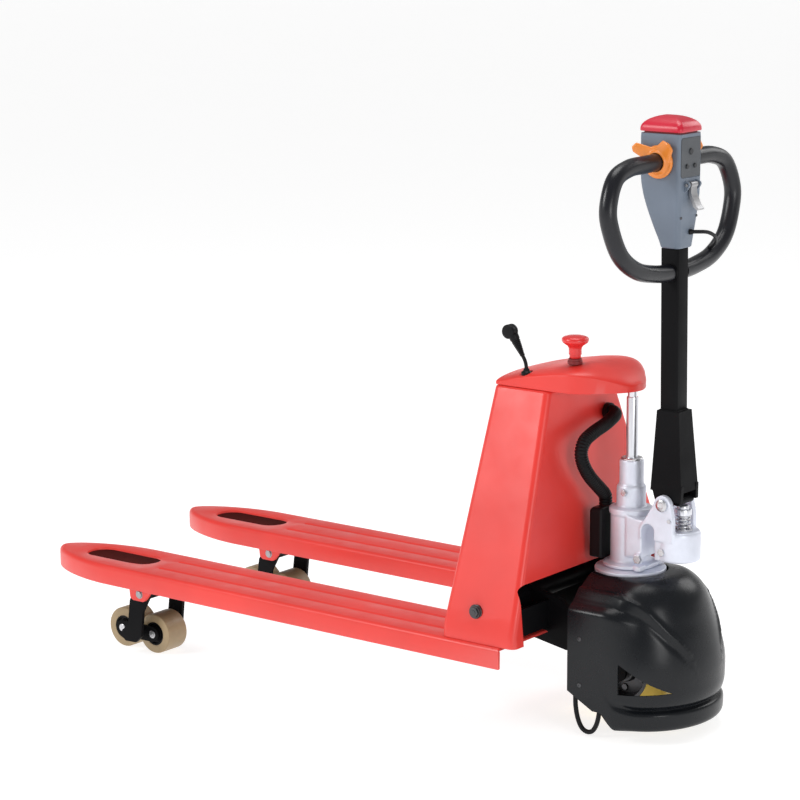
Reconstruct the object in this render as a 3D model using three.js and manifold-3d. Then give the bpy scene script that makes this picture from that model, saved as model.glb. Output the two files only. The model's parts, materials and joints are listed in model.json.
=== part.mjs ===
// Electric pallet truck with a tandem roller under each fork, drawn with its forks raised.
// Millimetres, +Z up. Lengths along the truck are measured from the fork tips, and the last
// group moves everything so that the origin is on the floor under the middle of the truck.
import * as THREE from 'three';
import { mergeVertices } from 'three/addons/utils/BufferGeometryUtils.js';
import Module from 'manifold-3d';

const wasm = await Module();
wasm.setup();

// Driving dimensions of the whole truck
const LENGTH = 1468;
const GAP = 0.3;
const LIFT = 96;
const SHEET = 5;

// Forks
const FORK_TOP = 184;
const FORK_FLANK = 40;
const FORK_WIDTH = 162;
const FORK_OUTSIDE = 566;
const FORK_HEEL = 1186;
const FORK_OPEN_HEEL = 1104;
const FORK_Y = (FORK_OUTSIDE - FORK_WIDTH) / 2;
const FORK_BOTTOM = FORK_TOP - FORK_FLANK;
const INNER_FLANK = FORK_Y - FORK_WIDTH / 2 - GAP;

// Tandem rollers, their arm and bogie
const ROLLER_R = 41;
const ROLLER_WIDTH = 56;
const ROLLER_HALF_PITCH = 42;
const ARM_PIN = { x: 290, z: 137 };
const BOGIE_PIN = { x: 240, z: ROLLER_R };
const ARM_SWING = Math.atan2(ARM_PIN.z - BOGIE_PIN.z, ARM_PIN.x - BOGIE_PIN.x);
const ARM_LEVER = 33;

// Rocker that lifts the heel and drives the push rods
const HEEL_PIN = { x: 1121, z: 239 };
const BASE_PIN = { x: 1279, z: 190 };
const ROCKER_LEVER = 58.8;
const ROCKER_HALF_SWING = Math.asin(LIFT / 2 / Math.hypot(BASE_PIN.x - HEEL_PIN.x, LIFT / 2));
const ROD_PIN_Z = ARM_PIN.z + ARM_LEVER * Math.cos(ARM_SWING / 2);
const ROD_HEEL_Z = HEEL_PIN.z - ROCKER_LEVER * Math.cos(ROCKER_HALF_SWING);

// Battery box
const BOX_FRONT = 1050;
const BOX_DEPTH = 163;
const BOX_BOTTOM = FORK_TOP + GAP;
const BOX_SHOULDER = 205;
const BOX_TOP = 631.7;
const BOX_HALF_BOTTOM = 275;
const BOX_HALF_TOP = 110;
const BOX_TOP_SHARE = 0.76;
const BOX_DOOR_TOP = 295;

// Drive unit on its steering axis
const STEER_X = 1287;
const WHEEL_R = 105;
const WHEEL_WIDTH = 75;
const COVER_X = 1340;
const COVER_FRONT = 1247;
const COVER_R = 150;
const COVER_DEPTH_SHARE = (LENGTH - COVER_X) / COVER_R;
const COVER_BOTTOM = 25;
const PLATE_Z = 230;
const PLATE_THICK = 12;
const RING_TOP = 299.5;
const PUMP_FOOT = 300;

// Tiller
const TILLER_PIN = { x: 1380, z: 434 };
const TUBE_FOOT_X = 1377;
const TUBE_HEAD_X = 1373;
const TUBE_SIDE = 37;
const SPIGOT_X = 1376;
const LOOP_X = 1362;
const LOOP_LEAN = 12;
const LOOP_R = 16;
const LOOP_TOP = 1061;
const LOOP_BOTTOM = 860;
const LOOP_HALF = 209;
const HEAD_BOTTOM = 905;
const HEAD_TOP = 1112;
const HEAD_HALF = 38;
const TRUCK_TOP = 1144;
const LEVER = { x: 1408.5, z: 1021 };
const THROTTLE = { x: LOOP_X, z: LOOP_TOP + 1 };

// Top cap, stop button and charger lead
const CAP_NOSE = 1304;
const CAP_SHOULDER = 1225;
const CAP_CREST = 684;
const ESTOP = { x: 1197, y: -57, seat: 683 };
const CHARGER = { x: 1112, y: -92, seat: 654 };
const PLUG_TILT = -31;

// Pump plunger
const PLUNGER_X = 1400;
const SPRING_SEAT = 383.5;
const COLLAR_Z = 418;

// ---------------------------------------------------------------- helpers

const paint = (color, roughness, metalness) => () =>
  new THREE.MeshStandardMaterial({ color, roughness, metalness });
const redPaint = paint(0xd8362c, 0.4, 0.1);
const blackSteel = paint(0x17181a, 0.5, 0.3);
const blackPlastic = paint(0x1b1c1f, 0.45, 0);
const silverCasting = paint(0xc9ccd4, 0.45, 0.7);
const chrome = paint(0xdcdfe4, 0.12, 1);
const steel = paint(0x9a9da2, 0.35, 0.9);
const greyPlastic = paint(0x6f7680, 0.5, 0);
const orangePlastic = paint(0xf08a35, 0.45, 0);
const crimsonPlastic = paint(0xc22544, 0.4, 0);
const amberTyre = paint(0xc7a878, 0.5, 0);

function solid(geometry) {
  const bare = geometry.clone();
  bare.deleteAttribute('normal');
  bare.deleteAttribute('uv');
  const merged = mergeVertices(bare, 1e-4);
  const index = merged.index.array;
  const kept = [];
  for (let i = 0; i < index.length; i += 3) {
    const [a, b, c] = index.slice(i, i + 3);
    if (a !== b && b !== c && c !== a) kept.push(a, b, c);
  }
  const mesh = new wasm.Mesh({
    numProp: 3,
    vertProperties: new Float32Array(merged.attributes.position.array),
    triVerts: new Uint32Array(kept),
  });
  return new wasm.Manifold(mesh);
}

function piece(name, body, material) {
  const { vertProperties, triVerts } = body.getMesh();
  const geometry = new THREE.BufferGeometry();
  geometry.setAttribute('position', new THREE.BufferAttribute(vertProperties, 3));
  geometry.setIndex(new THREE.BufferAttribute(triVerts, 1));
  const flat = geometry.toNonIndexed();
  flat.computeVertexNormals();
  const mesh = new THREE.Mesh(flat, material());
  mesh.name = name;
  return mesh;
}

const join = (first, ...rest) => rest.reduce((whole, next) => whole.add(next), first);
const cut = (first, ...rest) => rest.reduce((whole, next) => whole.subtract(next), first);

function box(x0, x1, y0, y1, z0, z1) {
  const geometry = new THREE.BoxGeometry(x1 - x0, y1 - y0, z1 - z0);
  geometry.translate((x0 + x1) / 2, (y0 + y1) / 2, (z0 + z1) / 2);
  return solid(geometry);
}

function rodZ(x, y, z0, z1, r, sides = 16) {
  const geometry = new THREE.CylinderGeometry(r, r, z1 - z0, sides);
  geometry.rotateX(Math.PI / 2);
  geometry.translate(x, y, (z0 + z1) / 2);
  return solid(geometry);
}

function rodY(x, z, y0, y1, r, sides = 16) {
  const geometry = new THREE.CylinderGeometry(r, r, y1 - y0, sides);
  geometry.translate(x, (y0 + y1) / 2, z);
  return solid(geometry);
}

function rodX(y, z, x0, x1, r, sides = 16) {
  const geometry = new THREE.CylinderGeometry(r, r, x1 - x0, sides);
  geometry.rotateZ(Math.PI / 2);
  geometry.translate((x0 + x1) / 2, y, z);
  return solid(geometry);
}

const AXIS_X = new THREE.Vector3(1, 0, 0);
const AXIS_Y = new THREE.Vector3(0, 1, 0);
const AXIS_Z = new THREE.Vector3(0, 0, 1);

function extruded(shape, depth, round, segments) {
  return new THREE.ExtrudeGeometry(shape, {
    depth: depth - 2 * round,
    curveSegments: 5,
    bevelEnabled: round > 0,
    bevelThickness: round,
    bevelSize: round,
    bevelOffset: -round,
    bevelSegments: segments,
  });
}

// A plan outline (x, y) raised from z0 to z1
function plan(shape, z0, z1, round = 0, segments = 2) {
  const geometry = extruded(shape, z1 - z0, round, segments);
  geometry.translate(0, 0, z0 + round);
  return solid(geometry);
}

// A side outline (x, z) carried from y0 to y1
function side(shape, y0, y1, round = 0, segments = 2) {
  const geometry = extruded(shape, y1 - y0, round, segments);
  geometry.applyMatrix4(new THREE.Matrix4().makeBasis(AXIS_X, AXIS_Z, AXIS_Y.clone().negate()));
  geometry.translate(0, y1 - round, 0);
  return solid(geometry);
}

// A front outline (y, z) carried from x0 to x1, as geometry so that it can be tapered
function front(shape, x0, x1, round = 0, segments = 2) {
  const geometry = extruded(shape, x1 - x0, round, segments);
  geometry.applyMatrix4(new THREE.Matrix4().makeBasis(AXIS_Y, AXIS_Z, AXIS_X));
  geometry.translate(x0 + round, 0, 0);
  return geometry;
}

function polygon(...points) {
  return new THREE.Shape(points.map(([a, b]) => new THREE.Vector2(a, b)));
}

// A bar outline with round ends between two centres
function stadium(x0, z0, x1, z1, r) {
  const angle = Math.atan2(z1 - z0, x1 - x0);
  const shape = new THREE.Shape();
  shape.absarc(x1, z1, r, angle - Math.PI / 2, angle + Math.PI / 2);
  shape.absarc(x0, z0, r, angle + Math.PI / 2, angle + Math.PI * 1.5);
  shape.closePath();
  return shape;
}

// A round tube along a smooth line through the points
function tube(points, r, steps, sides = 10) {
  const line = new THREE.CatmullRomCurve3(points.map((p) => new THREE.Vector3(...p)), false, 'centripetal');
  const ring = new THREE.Shape();
  for (let i = 0; i < sides; i += 1) {
    const turn = (i * 2 * Math.PI) / sides;
    const [u, v] = [r * Math.cos(turn), r * Math.sin(turn)];
    if (i === 0) ring.moveTo(u, v);
    else ring.lineTo(u, v);
  }
  ring.closePath();
  return solid(new THREE.ExtrudeGeometry(ring, { extrudePath: line, steps, bevelEnabled: false }));
}

// A turned piece around the vertical through (x, y), from points (radius, z)
function turned(points, x, y, sides = 20) {
  const outline = points.map(([r, z]) => new THREE.Vector2(r, z));
  const geometry = new THREE.LatheGeometry(outline, sides);
  geometry.rotateX(Math.PI / 2);
  geometry.translate(x, y, 0);
  return solid(geometry);
}

const truck = new THREE.Group();
const add = (name, body, material) => truck.add(piece(name, body, material));
const SIDES = [['left', -1], ['right', 1]];

// ---------------------------------------------------------------- forks

function forkOutline(inset) {
  const half = FORK_WIDTH / 2 - inset;
  const tip = inset;
  const [taperEnd, taperBend, nose] = [200, 98, 32 - inset / 2];
  const shape = new THREE.Shape();
  shape.moveTo(FORK_HEEL, -half);
  shape.lineTo(FORK_HEEL, half);
  shape.lineTo(taperEnd, half);
  shape.bezierCurveTo(taperBend, half, tip, nose, tip, 0);
  shape.bezierCurveTo(tip, -nose, taperBend, -half, taperEnd, -half);
  shape.closePath();
  return shape;
}

function forkSlot() {
  const shape = stadium(120, 0, 232, 0, 35);
  return plan(shape, FORK_TOP - 20, FORK_TOP + 10);
}

function gusset(y0, y1) {
  const plate = polygon([252, 160], [272, 126], [282, 122], [298, 122], [308, 128], [334, 160]);
  return side(plate, y0, y1);
}

// Under the battery box only the top sheet and the outer flank run on to the heel
function fork(s) {
  const round = 9;
  const flankInside = FORK_WIDTH / 2 - SHEET;
  const low = FORK_BOTTOM - 20;
  const outer = cut(plan(forkOutline(0), low, FORK_TOP, round, 3), box(-10, 1300, -90, 90, low - 10, FORK_BOTTOM));
  const inner = plan(forkOutline(SHEET), low - 10, FORK_TOP - SHEET);
  const rodSlot = box(BOX_FRONT + 5, FORK_HEEL - 25, -20, 20, FORK_TOP - 20, FORK_TOP + 10);
  const [y0, y1] = s > 0 ? [-90, flankInside] : [-flankInside, 90];
  const openHeel = box(FORK_OPEN_HEEL, FORK_HEEL + 10, y0, y1, FORK_BOTTOM - 10, FORK_TOP - SHEET);
  let body = cut(outer, inner, forkSlot(), rodSlot, openHeel);
  body = join(body, gusset(flankInside - 6, flankInside + 2), gusset(-flankInside - 2, 6 - flankInside));
  for (const y of [-30, 30]) {
    body = cut(body, box(300, 1044, y - 6, y + 6, FORK_TOP - 2, FORK_TOP + 5));
  }
  const headSeats = [78, -90].map((y) => rodY(ARM_PIN.x, ARM_PIN.z, y, y + 12, 12 + GAP));
  return cut(body, ...headSeats, rodY(ARM_PIN.x, ARM_PIN.z, -90, 90, 8 + GAP));
}

function armPin() {
  const half = FORK_WIDTH / 2 - SHEET + 2 + GAP;
  const pin = rodY(ARM_PIN.x, ARM_PIN.z, -half, half, 8);
  const head = (y) => rodY(ARM_PIN.x, ARM_PIN.z, y, y + 3, 12);
  return join(pin, head(half), head(-half - 3));
}

// ---------------------------------------------------------------- rollers

// Boot-shaped cheeks just inside the flanks hang from the arm pin and carry the bogie
function rollerArm() {
  const [inside, outside] = [57, 64];
  const outline = polygon(
    [305, 137], [300, 149], [282, 150], [262, 136], [250, 116], [243, 62], [226, 48], [226, 34],
    [236, 27], [264, 28], [279, 42], [285, 96], [302, 126],
  );
  const plates = [side(outline, inside, outside), side(outline, -outside, -inside)];
  const sleeve = rodY(ARM_PIN.x, ARM_PIN.z, -68, 68, 15);
  const stub = (y0, y1) => rodY(BOGIE_PIN.x, BOGIE_PIN.z, y0, y1, 7);
  const lever = box(-13, 13, -5, 5, 0, 37.5);
  const notch = box(-7.2, 7.2, -6, 6, 21.5, 50);
  const lean = -THREE.MathUtils.radToDeg(ARM_SWING / 2);
  const crank = cut(lever, notch).rotate([0, lean, 0]).translate([ARM_PIN.x, 0, ARM_PIN.z]);
  const body = join(sleeve, ...plates, stub(29, inside + 1), stub(-inside - 1, -29), crank);
  return cut(body, rodY(ARM_PIN.x, ARM_PIN.z, -90, 90, 8 + GAP));
}

function bogie() {
  const [inside, outside] = [29.3, 34.2];
  const [x0, x1] = [BOGIE_PIN.x - ROLLER_HALF_PITCH, BOGIE_PIN.x + ROLLER_HALF_PITCH];
  const outline = stadium(x0, BOGIE_PIN.z, x1, BOGIE_PIN.z, 16);
  let body = join(side(outline, inside, outside), side(outline, -outside, -inside));
  for (const x of [x0, x1]) {
    body = join(body, rodY(x, BOGIE_PIN.z, -outside, outside, 8));
  }
  return cut(body, rodY(BOGIE_PIN.x, BOGIE_PIN.z, -50, 50, 7 + GAP));
}

function ring(x, z, half, rOuter, rInner, sides) {
  return cut(rodY(x, z, -half, half, rOuter, sides), rodY(x, z, -half - 5, half + 5, rInner, 24));
}

// ---------------------------------------------------------------- lift linkage

// The rod lies under the fork's top sheet; a pin in each forked end sits in an open notch
function pushRod() {
  const frontPin = ARM_PIN.x - ARM_LEVER * Math.sin(ARM_SWING / 2);
  const heelPin = HEEL_PIN.x - ROCKER_LEVER * Math.sin(ROCKER_HALF_SWING);
  const [halfWide, halfHigh] = [12, 7];
  const low = box(frontPin - 14, 1060, -halfWide, halfWide, ROD_PIN_Z - halfHigh, ROD_PIN_Z + halfHigh);
  const rise = side(polygon(
    [1056, ROD_PIN_Z - halfHigh],
    [1076, ROD_HEEL_Z - halfHigh],
    [1076, ROD_HEEL_Z + halfHigh],
    [1056, ROD_PIN_Z + halfHigh],
  ), -halfWide, halfWide);
  const high = box(1072, heelPin + 12, -halfWide, halfWide, ROD_HEEL_Z - halfHigh, ROD_HEEL_Z + halfHigh);
  const frontFork = box(frontPin - 30, frontPin + 26, -5.5, 5.5, ROD_PIN_Z - 20, ROD_PIN_Z + 20);
  const heelFork = box(heelPin - 26, heelPin + 30, -5.5, 5.5, ROD_HEEL_Z - 20, ROD_HEEL_Z + 20);
  const bar = cut(join(low, rise, high), frontFork, heelFork);
  const frontBolt = rodY(frontPin, ROD_PIN_Z, -halfWide - 2, halfWide + 2, 6, 16);
  const heelBolt = rodY(heelPin, ROD_HEEL_Z, -halfWide - 2, halfWide + 2, 6, 16);
  return join(bar, frontBolt, heelBolt);
}

function rocker() {
  const outline = polygon(
    [1103, 252], [1112, 262], [1130, 264], [1212, 244], [1238, 225], [1292, 212], [1300, 196], [1292, 174],
    [1262, 158], [1223, 149], [1147, 162], [1122, 196], [1104, 222],
  );
  const [inside, outside] = [108, 118];
  let body = join(side(outline, inside, outside), side(outline, -outside, -inside));
  body = join(body, rodY(HEEL_PIN.x, HEEL_PIN.z, -222, 222, 22));
  const innerWeb = box(1132, 1140, -inside - 2, inside + 2, 186, 245);
  const wings = SIDES.map(([, s]) => box(1176, 1184, ...[s * inside, s * 205].sort((a, b) => a - b), 188, 240));
  body = join(body, innerWeb, ...wings);
  const lever = box(-13, 13, -5, 5, -66, 0);
  const notch = box(-6.5, 6.5, -6, 6, -80, -49.5);
  const lean = THREE.MathUtils.radToDeg(ROCKER_HALF_SWING);
  const crank = cut(lever, notch).rotate([0, lean, 0]);
  for (const [, s] of SIDES) {
    body = join(body, crank.translate([HEEL_PIN.x, s * FORK_Y, HEEL_PIN.z]));
  }
  body = cut(body, rodY(HEEL_PIN.x, HEEL_PIN.z, -300, 300, 12 + GAP));
  const eyeSlot = 8;
  const [eyeX, eyeZ] = [
    BASE_PIN.x - eyeSlot * Math.cos(ROCKER_HALF_SWING),
    BASE_PIN.z + eyeSlot * Math.sin(ROCKER_HALF_SWING),
  ];
  const eye = stadium(eyeX, eyeZ, BASE_PIN.x, BASE_PIN.z, 10 + 2 * GAP);
  return cut(body, side(eye, -200, 200));
}

// ---------------------------------------------------------------- battery box and cap

function boxOutline(inset) {
  return polygon(
    [-BOX_HALF_BOTTOM + inset, BOX_BOTTOM - 10 * Math.sign(inset)],
    [BOX_HALF_BOTTOM - inset, BOX_BOTTOM - 10 * Math.sign(inset)],
    [BOX_HALF_BOTTOM - inset, BOX_SHOULDER],
    [BOX_HALF_TOP - inset, BOX_TOP - inset],
    [-BOX_HALF_TOP + inset, BOX_TOP - inset],
    [-BOX_HALF_BOTTOM + inset, BOX_SHOULDER],
  );
}

// The drive side leans in towards the top, so depth shrinks with height
function taperDepth(geometry) {
  const place = geometry.attributes.position;
  for (let i = 0; i < place.count; i += 1) {
    const height = (place.getZ(i) - BOX_SHOULDER) / (BOX_TOP - BOX_SHOULDER);
    const share = 1 - (1 - BOX_TOP_SHARE) * height;
    place.setX(i, BOX_FRONT + (place.getX(i) - BOX_FRONT) * share);
  }
  return solid(geometry);
}

function batteryBox() {
  const wall = 4;
  const round = 14;
  const skirtCut = box(BOX_FRONT - 10, 1300, -300, 300, 100, BOX_BOTTOM);
  const outer = cut(taperDepth(front(boxOutline(0), BOX_FRONT, BOX_FRONT + BOX_DEPTH, round, 3)), skirtCut);
  const inner = taperDepth(front(boxOutline(wall), BOX_FRONT + wall, BOX_FRONT + BOX_DEPTH - wall, round - wall, 3));
  const door = box(BOX_FRONT + 120, 1300, -240, 240, 150, BOX_DOOR_TOP);
  const shaft = rodY(HEEL_PIN.x, HEEL_PIN.z, -300, 300, 12 + GAP);
  return cut(outer, inner, door, shaft);
}

function capOutline(half) {
  const steps = 12;
  const near = Array.from({ length: steps }, (_, i) => {
    const share = i / steps;
    return [CAP_SHOULDER + (CAP_NOSE - CAP_SHOULDER) * share, -half * Math.sqrt(1 - share ** 0.9)];
  });
  const far = near.map(([x, y]) => [x, -y]).reverse();
  return polygon([BOX_FRONT + 2, -half], ...near, [CAP_NOSE, 0], ...far, [BOX_FRONT + 2, half]);
}

function topCap() {
  const low = BOX_TOP + GAP;
  const crownR = 492;
  const outer = plan(capOutline(BOX_HALF_TOP - 2), low, CAP_CREST + 10);
  const crown = rodX(0, CAP_CREST - crownR, BOX_FRONT - 20, 1360, crownR, 96);
  const profile = side(polygon(
    [BOX_FRONT, low], [CAP_NOSE + 2, low], [CAP_NOSE, 645], [1280, 661], [1256, 675], [1230, 681],
    [1180, 678], [1128, 669], [1090, 661], [BOX_FRONT, 649],
  ), -150, 150);
  const hollow = box(BOX_FRONT + 12, 1214, -92, 92, low - 5, 645);
  const glandSeat = rodZ(CHARGER.x, CHARGER.y, CHARGER.seat, 720, 12);
  const stopSeat = rodZ(ESTOP.x, ESTOP.y, ESTOP.seat - 4, 720, 16);
  return cut(outer.intersect(crown).intersect(profile), hollow, glandSeat, stopSeat);
}

// ---------------------------------------------------------------- emergency stop and charger lead

function stopButton() {
  return turned([
    [0, ESTOP.seat + 5], [12, ESTOP.seat + 5], [12, ESTOP.seat + 30], [23, ESTOP.seat + 37],
    [25, ESTOP.seat + 43], [19, ESTOP.seat + 49], [0, ESTOP.seat + 51],
  ], ESTOP.x, ESTOP.y, 24);
}

function chargerGland() {
  const { x, y, seat } = CHARGER;
  return turned([
    [0, seat + GAP], [10, seat + GAP], [10, seat + 5], [6, seat + 9], [5, seat + 12], [0, seat + 12],
  ], x, y, 16);
}

// The lead's free end, from the gland to the plug's boot
const CHARGER_LEAD = [
  [CHARGER.x, CHARGER.y, CHARGER.seat + 13],
  [CHARGER.x - 2, CHARGER.y, CHARGER.seat + 24],
  [CHARGER.x - 8, CHARGER.y, CHARGER.seat + 35],
];

function chargerPlug() {
  const end = CHARGER_LEAD.at(-1);
  const boot = turned([
    [0, 0], [4.2, 0], [9.5, 42], [0, 42],
  ], 0, 0, 16);
  const head = rodY(-3, 52, -9, 9, 13.5, 20);
  const plug = join(boot, head).rotate([0, PLUG_TILT, 0]);
  return plug.translate([end[0] - 0.5, end[1], end[2] + 10 * GAP]);
}

// ---------------------------------------------------------------- base and drive unit

function basePlate() {
  const plate = box(1246, 1334, -140, 140, PLATE_Z, PLATE_Z + PLATE_THICK);
  let body = plate;
  for (const [, s] of SIDES) {
    const [y0, y1] = s > 0 ? [130, 140] : [-140, -130];
    body = join(body, box(1255, 1304, y0, y1, 166, PLATE_Z + 2));
    const [p0, p1] = s > 0 ? [106, 134] : [-134, -106];
    body = join(body, rodY(BASE_PIN.x, BASE_PIN.z, p0, p1, 10));
  }
  return cut(body, rodZ(STEER_X, 0, 200, 320, 30 + 2 * GAP));
}

function turntable() {
  const [low, high] = [PLATE_Z + PLATE_THICK + GAP, RING_TOP];
  const outer = turned([[0, low], [68, low], [66, low + 10], [54, high], [0, high]], STEER_X, 0, 40);
  return cut(outer, rodZ(STEER_X, 0, low - 5, high + 5, 30 + 2 * GAP));
}

function junctionBlock() {
  return side(polygon([1216.5, 311], [1245, 311], [1245, 407], [1222, 407], [1216.5, 400]), -36, 24, 3, 1);
}

// The cover is a round dome behind the wheel and a square-shouldered tunnel in front of it
function coverShell(inset) {
  const open = Math.sign(inset);
  const r = COVER_R - inset;
  const crest = [[r - 62, 286 - inset], [r - 74, 294 - inset], [0, 294 - inset]];
  const foot = COVER_BOTTOM - open * 15;
  const round = [
    [0, foot], [r - 15, foot], [r - 8, 34], [r - 8.5, 40], [r - 14, 49], [r - 3, 76], [r, 100], [r, 132],
    [r - 4, 154], [r - 13, 188], [r - 27, 236], [r - 41, 270], ...crest,
  ];
  const right = [[r, 46 - open * 30], [r, 240 - inset], [r - 8, 250 - inset], [r - 41, 271 - inset]];
  right.push(...crest.slice(0, 2));
  const left = right.map(([y, z]) => [-y, z]).reverse();
  const whole = turned(round, 0, 0, 40).scale([COVER_DEPTH_SHARE, 1, 1]).translate([COVER_X, 0, 0]);
  const dome = whole.intersect(box(COVER_X - 6, 1600, -200, 200, 0, 400));
  const tunnel = solid(front(polygon(...right, ...left), COVER_FRONT - 10 * open, COVER_X - inset));
  return join(dome, tunnel);
}

function driveCover() {
  const wall = 4;
  const mouth = rodZ(STEER_X, 0, 250, 320, 72, 32);
  const window = side(polygon([1357, 95], [1441, 99], [1357, 153]), -200, 0);
  const frontChamfer = side(polygon([1230, 0], [1230, 93], [1322, 46], [1322, 0]), -200, 200);
  return cut(coverShell(0), coverShell(wall), mouth, window, frontChamfer);
}

function wheelYoke() {
  const crown = rodZ(STEER_X, 0, 214, 227, 62, 32);
  const spindle = rodZ(STEER_X, 0, 220, PUMP_FOOT - GAP, 30, 32);
  const cheek = side(stadium(STEER_X, WHEEL_R, STEER_X, 202, 24), 41, 49);
  const farCheek = side(stadium(STEER_X, WHEEL_R, STEER_X, 202, 24), -49, -41);
  const axle = rodY(STEER_X, WHEEL_R, -49, 49, 15);
  return join(crown, spindle, cheek, farCheek, axle);
}

function driveMotor() {
  const can = rodY(STEER_X, WHEEL_R, 49 + GAP, 92, 45, 32);
  const endBell = rodY(STEER_X, WHEEL_R, 91, 99, 30, 24);
  return join(can, endBell);
}

// ---------------------------------------------------------------- hydraulic pump

function pumpBody() {
  const barrel = turned([
    [0, PUMP_FOOT], [52, PUMP_FOOT], [52, 306], [38, 310], [38, 404], [34, 407], [27, 408],
    [27, 452], [22.5, 456], [22.5, 502], [0, 502],
  ], STEER_X, 0, 24);
  const casting = new THREE.Shape();
  casting.moveTo(1300, 322);
  casting.lineTo(1300, 404);
  casting.lineTo(1322, 398);
  casting.lineTo(1362, 398);
  casting.lineTo(1362, 383);
  casting.lineTo(1440, 383);
  casting.lineTo(1440, 326);
  casting.lineTo(1364, 326);
  casting.lineTo(1364, 322);
  const endRound = plan(stadium(1290, 0, 1390, 0, 42), 300, 420);
  const web = side(casting, -42, 42, 3, 1).intersect(endRound);
  const ear = new THREE.Shape();
  ear.moveTo(1336, 386);
  ear.lineTo(1364, 438);
  ear.absarc(TILLER_PIN.x, TILLER_PIN.z, 17, Math.PI * 0.86, 0.1, true);
  ear.lineTo(1402, 386);
  ear.lineTo(1402, 370);
  ear.lineTo(1336, 370);
  const arch = new THREE.Shape();
  arch.moveTo(1336, 300);
  arch.lineTo(1336, 380);
  arch.absarc(1350, 380, 14, Math.PI, 0, true);
  arch.lineTo(1364, 300);
  const boss = rodZ(PLUNGER_X, 0, 326, 383.5, 30, 20);
  let body = join(barrel, web, boss, side(ear, 32, 42), side(ear, -42, -32));
  body = cut(body, side(arch, -60, 60));
  body = cut(body, rodZ(STEER_X, 0, 320, 520, 11 + 2 * GAP));
  body = cut(body, rodZ(PLUNGER_X, 0, 335, 400, 8 + GAP));
  return cut(body, rodY(TILLER_PIN.x, TILLER_PIN.z, -60, 60, 8 + GAP));
}

function plunger() {
  return turned([
    [0, 362], [8, 362], [8, COLLAR_Z], [16, COLLAR_Z], [16, COLLAR_Z + 5], [11, COLLAR_Z + 7],
    [11, COLLAR_Z + 10], [6, COLLAR_Z + 12], [0, COLLAR_Z + 12],
  ], PLUNGER_X, 0, 16);
}

// A compression spring seen as the sleeve it fills
function plungerSpring() {
  const [low, high] = [SPRING_SEAT + GAP, COLLAR_Z - GAP];
  return cut(rodZ(PLUNGER_X, 0, low, high, 15, 24), rodZ(PLUNGER_X, 0, low - 5, high + 5, 9.5, 24));
}

function tillerPin() {
  const pin = rodY(TILLER_PIN.x, TILLER_PIN.z, -44, 44, 8);
  return join(pin, rodY(TILLER_PIN.x, TILLER_PIN.z, -47, -42 - GAP, 11), rodY(TILLER_PIN.x, TILLER_PIN.z, 42 + GAP, 47, 11));
}

// ---------------------------------------------------------------- tiller

// The tube leans a little towards the load
function tubeBar(half, z0, z1) {
  const middle = (z) => TUBE_FOOT_X + ((TUBE_HEAD_X - TUBE_FOOT_X) * (z - 540)) / (HEAD_BOTTOM - 540);
  const outline = polygon(
    [middle(z0) - half, z0], [middle(z0) + half, z0], [middle(z1) + half, z1], [middle(z1) - half, z1],
  );
  return side(outline, -half, half);
}

function tillerBracket() {
  const cheekOutline = new THREE.Shape();
  cheekOutline.moveTo(1347, 470);
  cheekOutline.lineTo(1362, 428);
  cheekOutline.absarc(TILLER_PIN.x, TILLER_PIN.z, 19, Math.PI * 1.15, Math.PI * 1.6);
  cheekOutline.lineTo(1412, 424);
  cheekOutline.lineTo(1414, 470);
  const cheeks = [side(cheekOutline, 22, 31), side(cheekOutline, -31, -22)];
  const shaft = side(polygon([1347, 457], [1413, 457], [1401, 606], [1354, 606]), -31, 31);
  const waist = solid(front(polygon([-31, 440], [31, 440], [22.5, 606], [-22.5, 606]), 1300, 1450));
  const roller = rodY(PLUNGER_X, TILLER_PIN.z + 6, -24, 24, 8, 20);
  const body = join(shaft.intersect(waist), cheeks[0].intersect(waist), cheeks[1].intersect(waist), roller);
  return cut(body, tubeBar(TUBE_SIDE / 2 + GAP, 540, 620), rodY(TILLER_PIN.x, TILLER_PIN.z, -60, 60, 8 + GAP));
}

function tillerTube() {
  const bar = tubeBar(TUBE_SIDE / 2, 540 + GAP, HEAD_BOTTOM - GAP);
  const spigot = rodZ(SPIGOT_X, 0, HEAD_BOTTOM - 5, 960, 12, 20);
  return cut(join(bar, spigot), rodY(LOOP_X + LOOP_LEAN, LOOP_BOTTOM, -40, 40, LOOP_R + 3 * GAP, 20));
}

function handleLoop() {
  const half = [
    [HEAD_HALF + GAP, LOOP_TOP + 1], [90, LOOP_TOP], [140, LOOP_TOP - 2], [185, LOOP_TOP - 18],
    [LOOP_HALF, LOOP_TOP - 62], [LOOP_HALF - 3, LOOP_TOP - 100], [178, LOOP_TOP - 152],
    [128, LOOP_TOP - 184], [70, LOOP_BOTTOM + 4], [22, LOOP_BOTTOM],
  ];
  const middle = [LOOP_X + LOOP_LEAN, 0, LOOP_BOTTOM];
  const lean = (z) => LOOP_X + (LOOP_LEAN * (LOOP_TOP - z)) / (LOOP_TOP - LOOP_BOTTOM);
  const near = half.map(([y, z]) => [lean(z), -y, z]);
  const far = half.map(([y, z]) => [lean(z), y, z]).reverse();
  return tube([...near, middle, ...far], LOOP_R, 44, 10);
}

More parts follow.
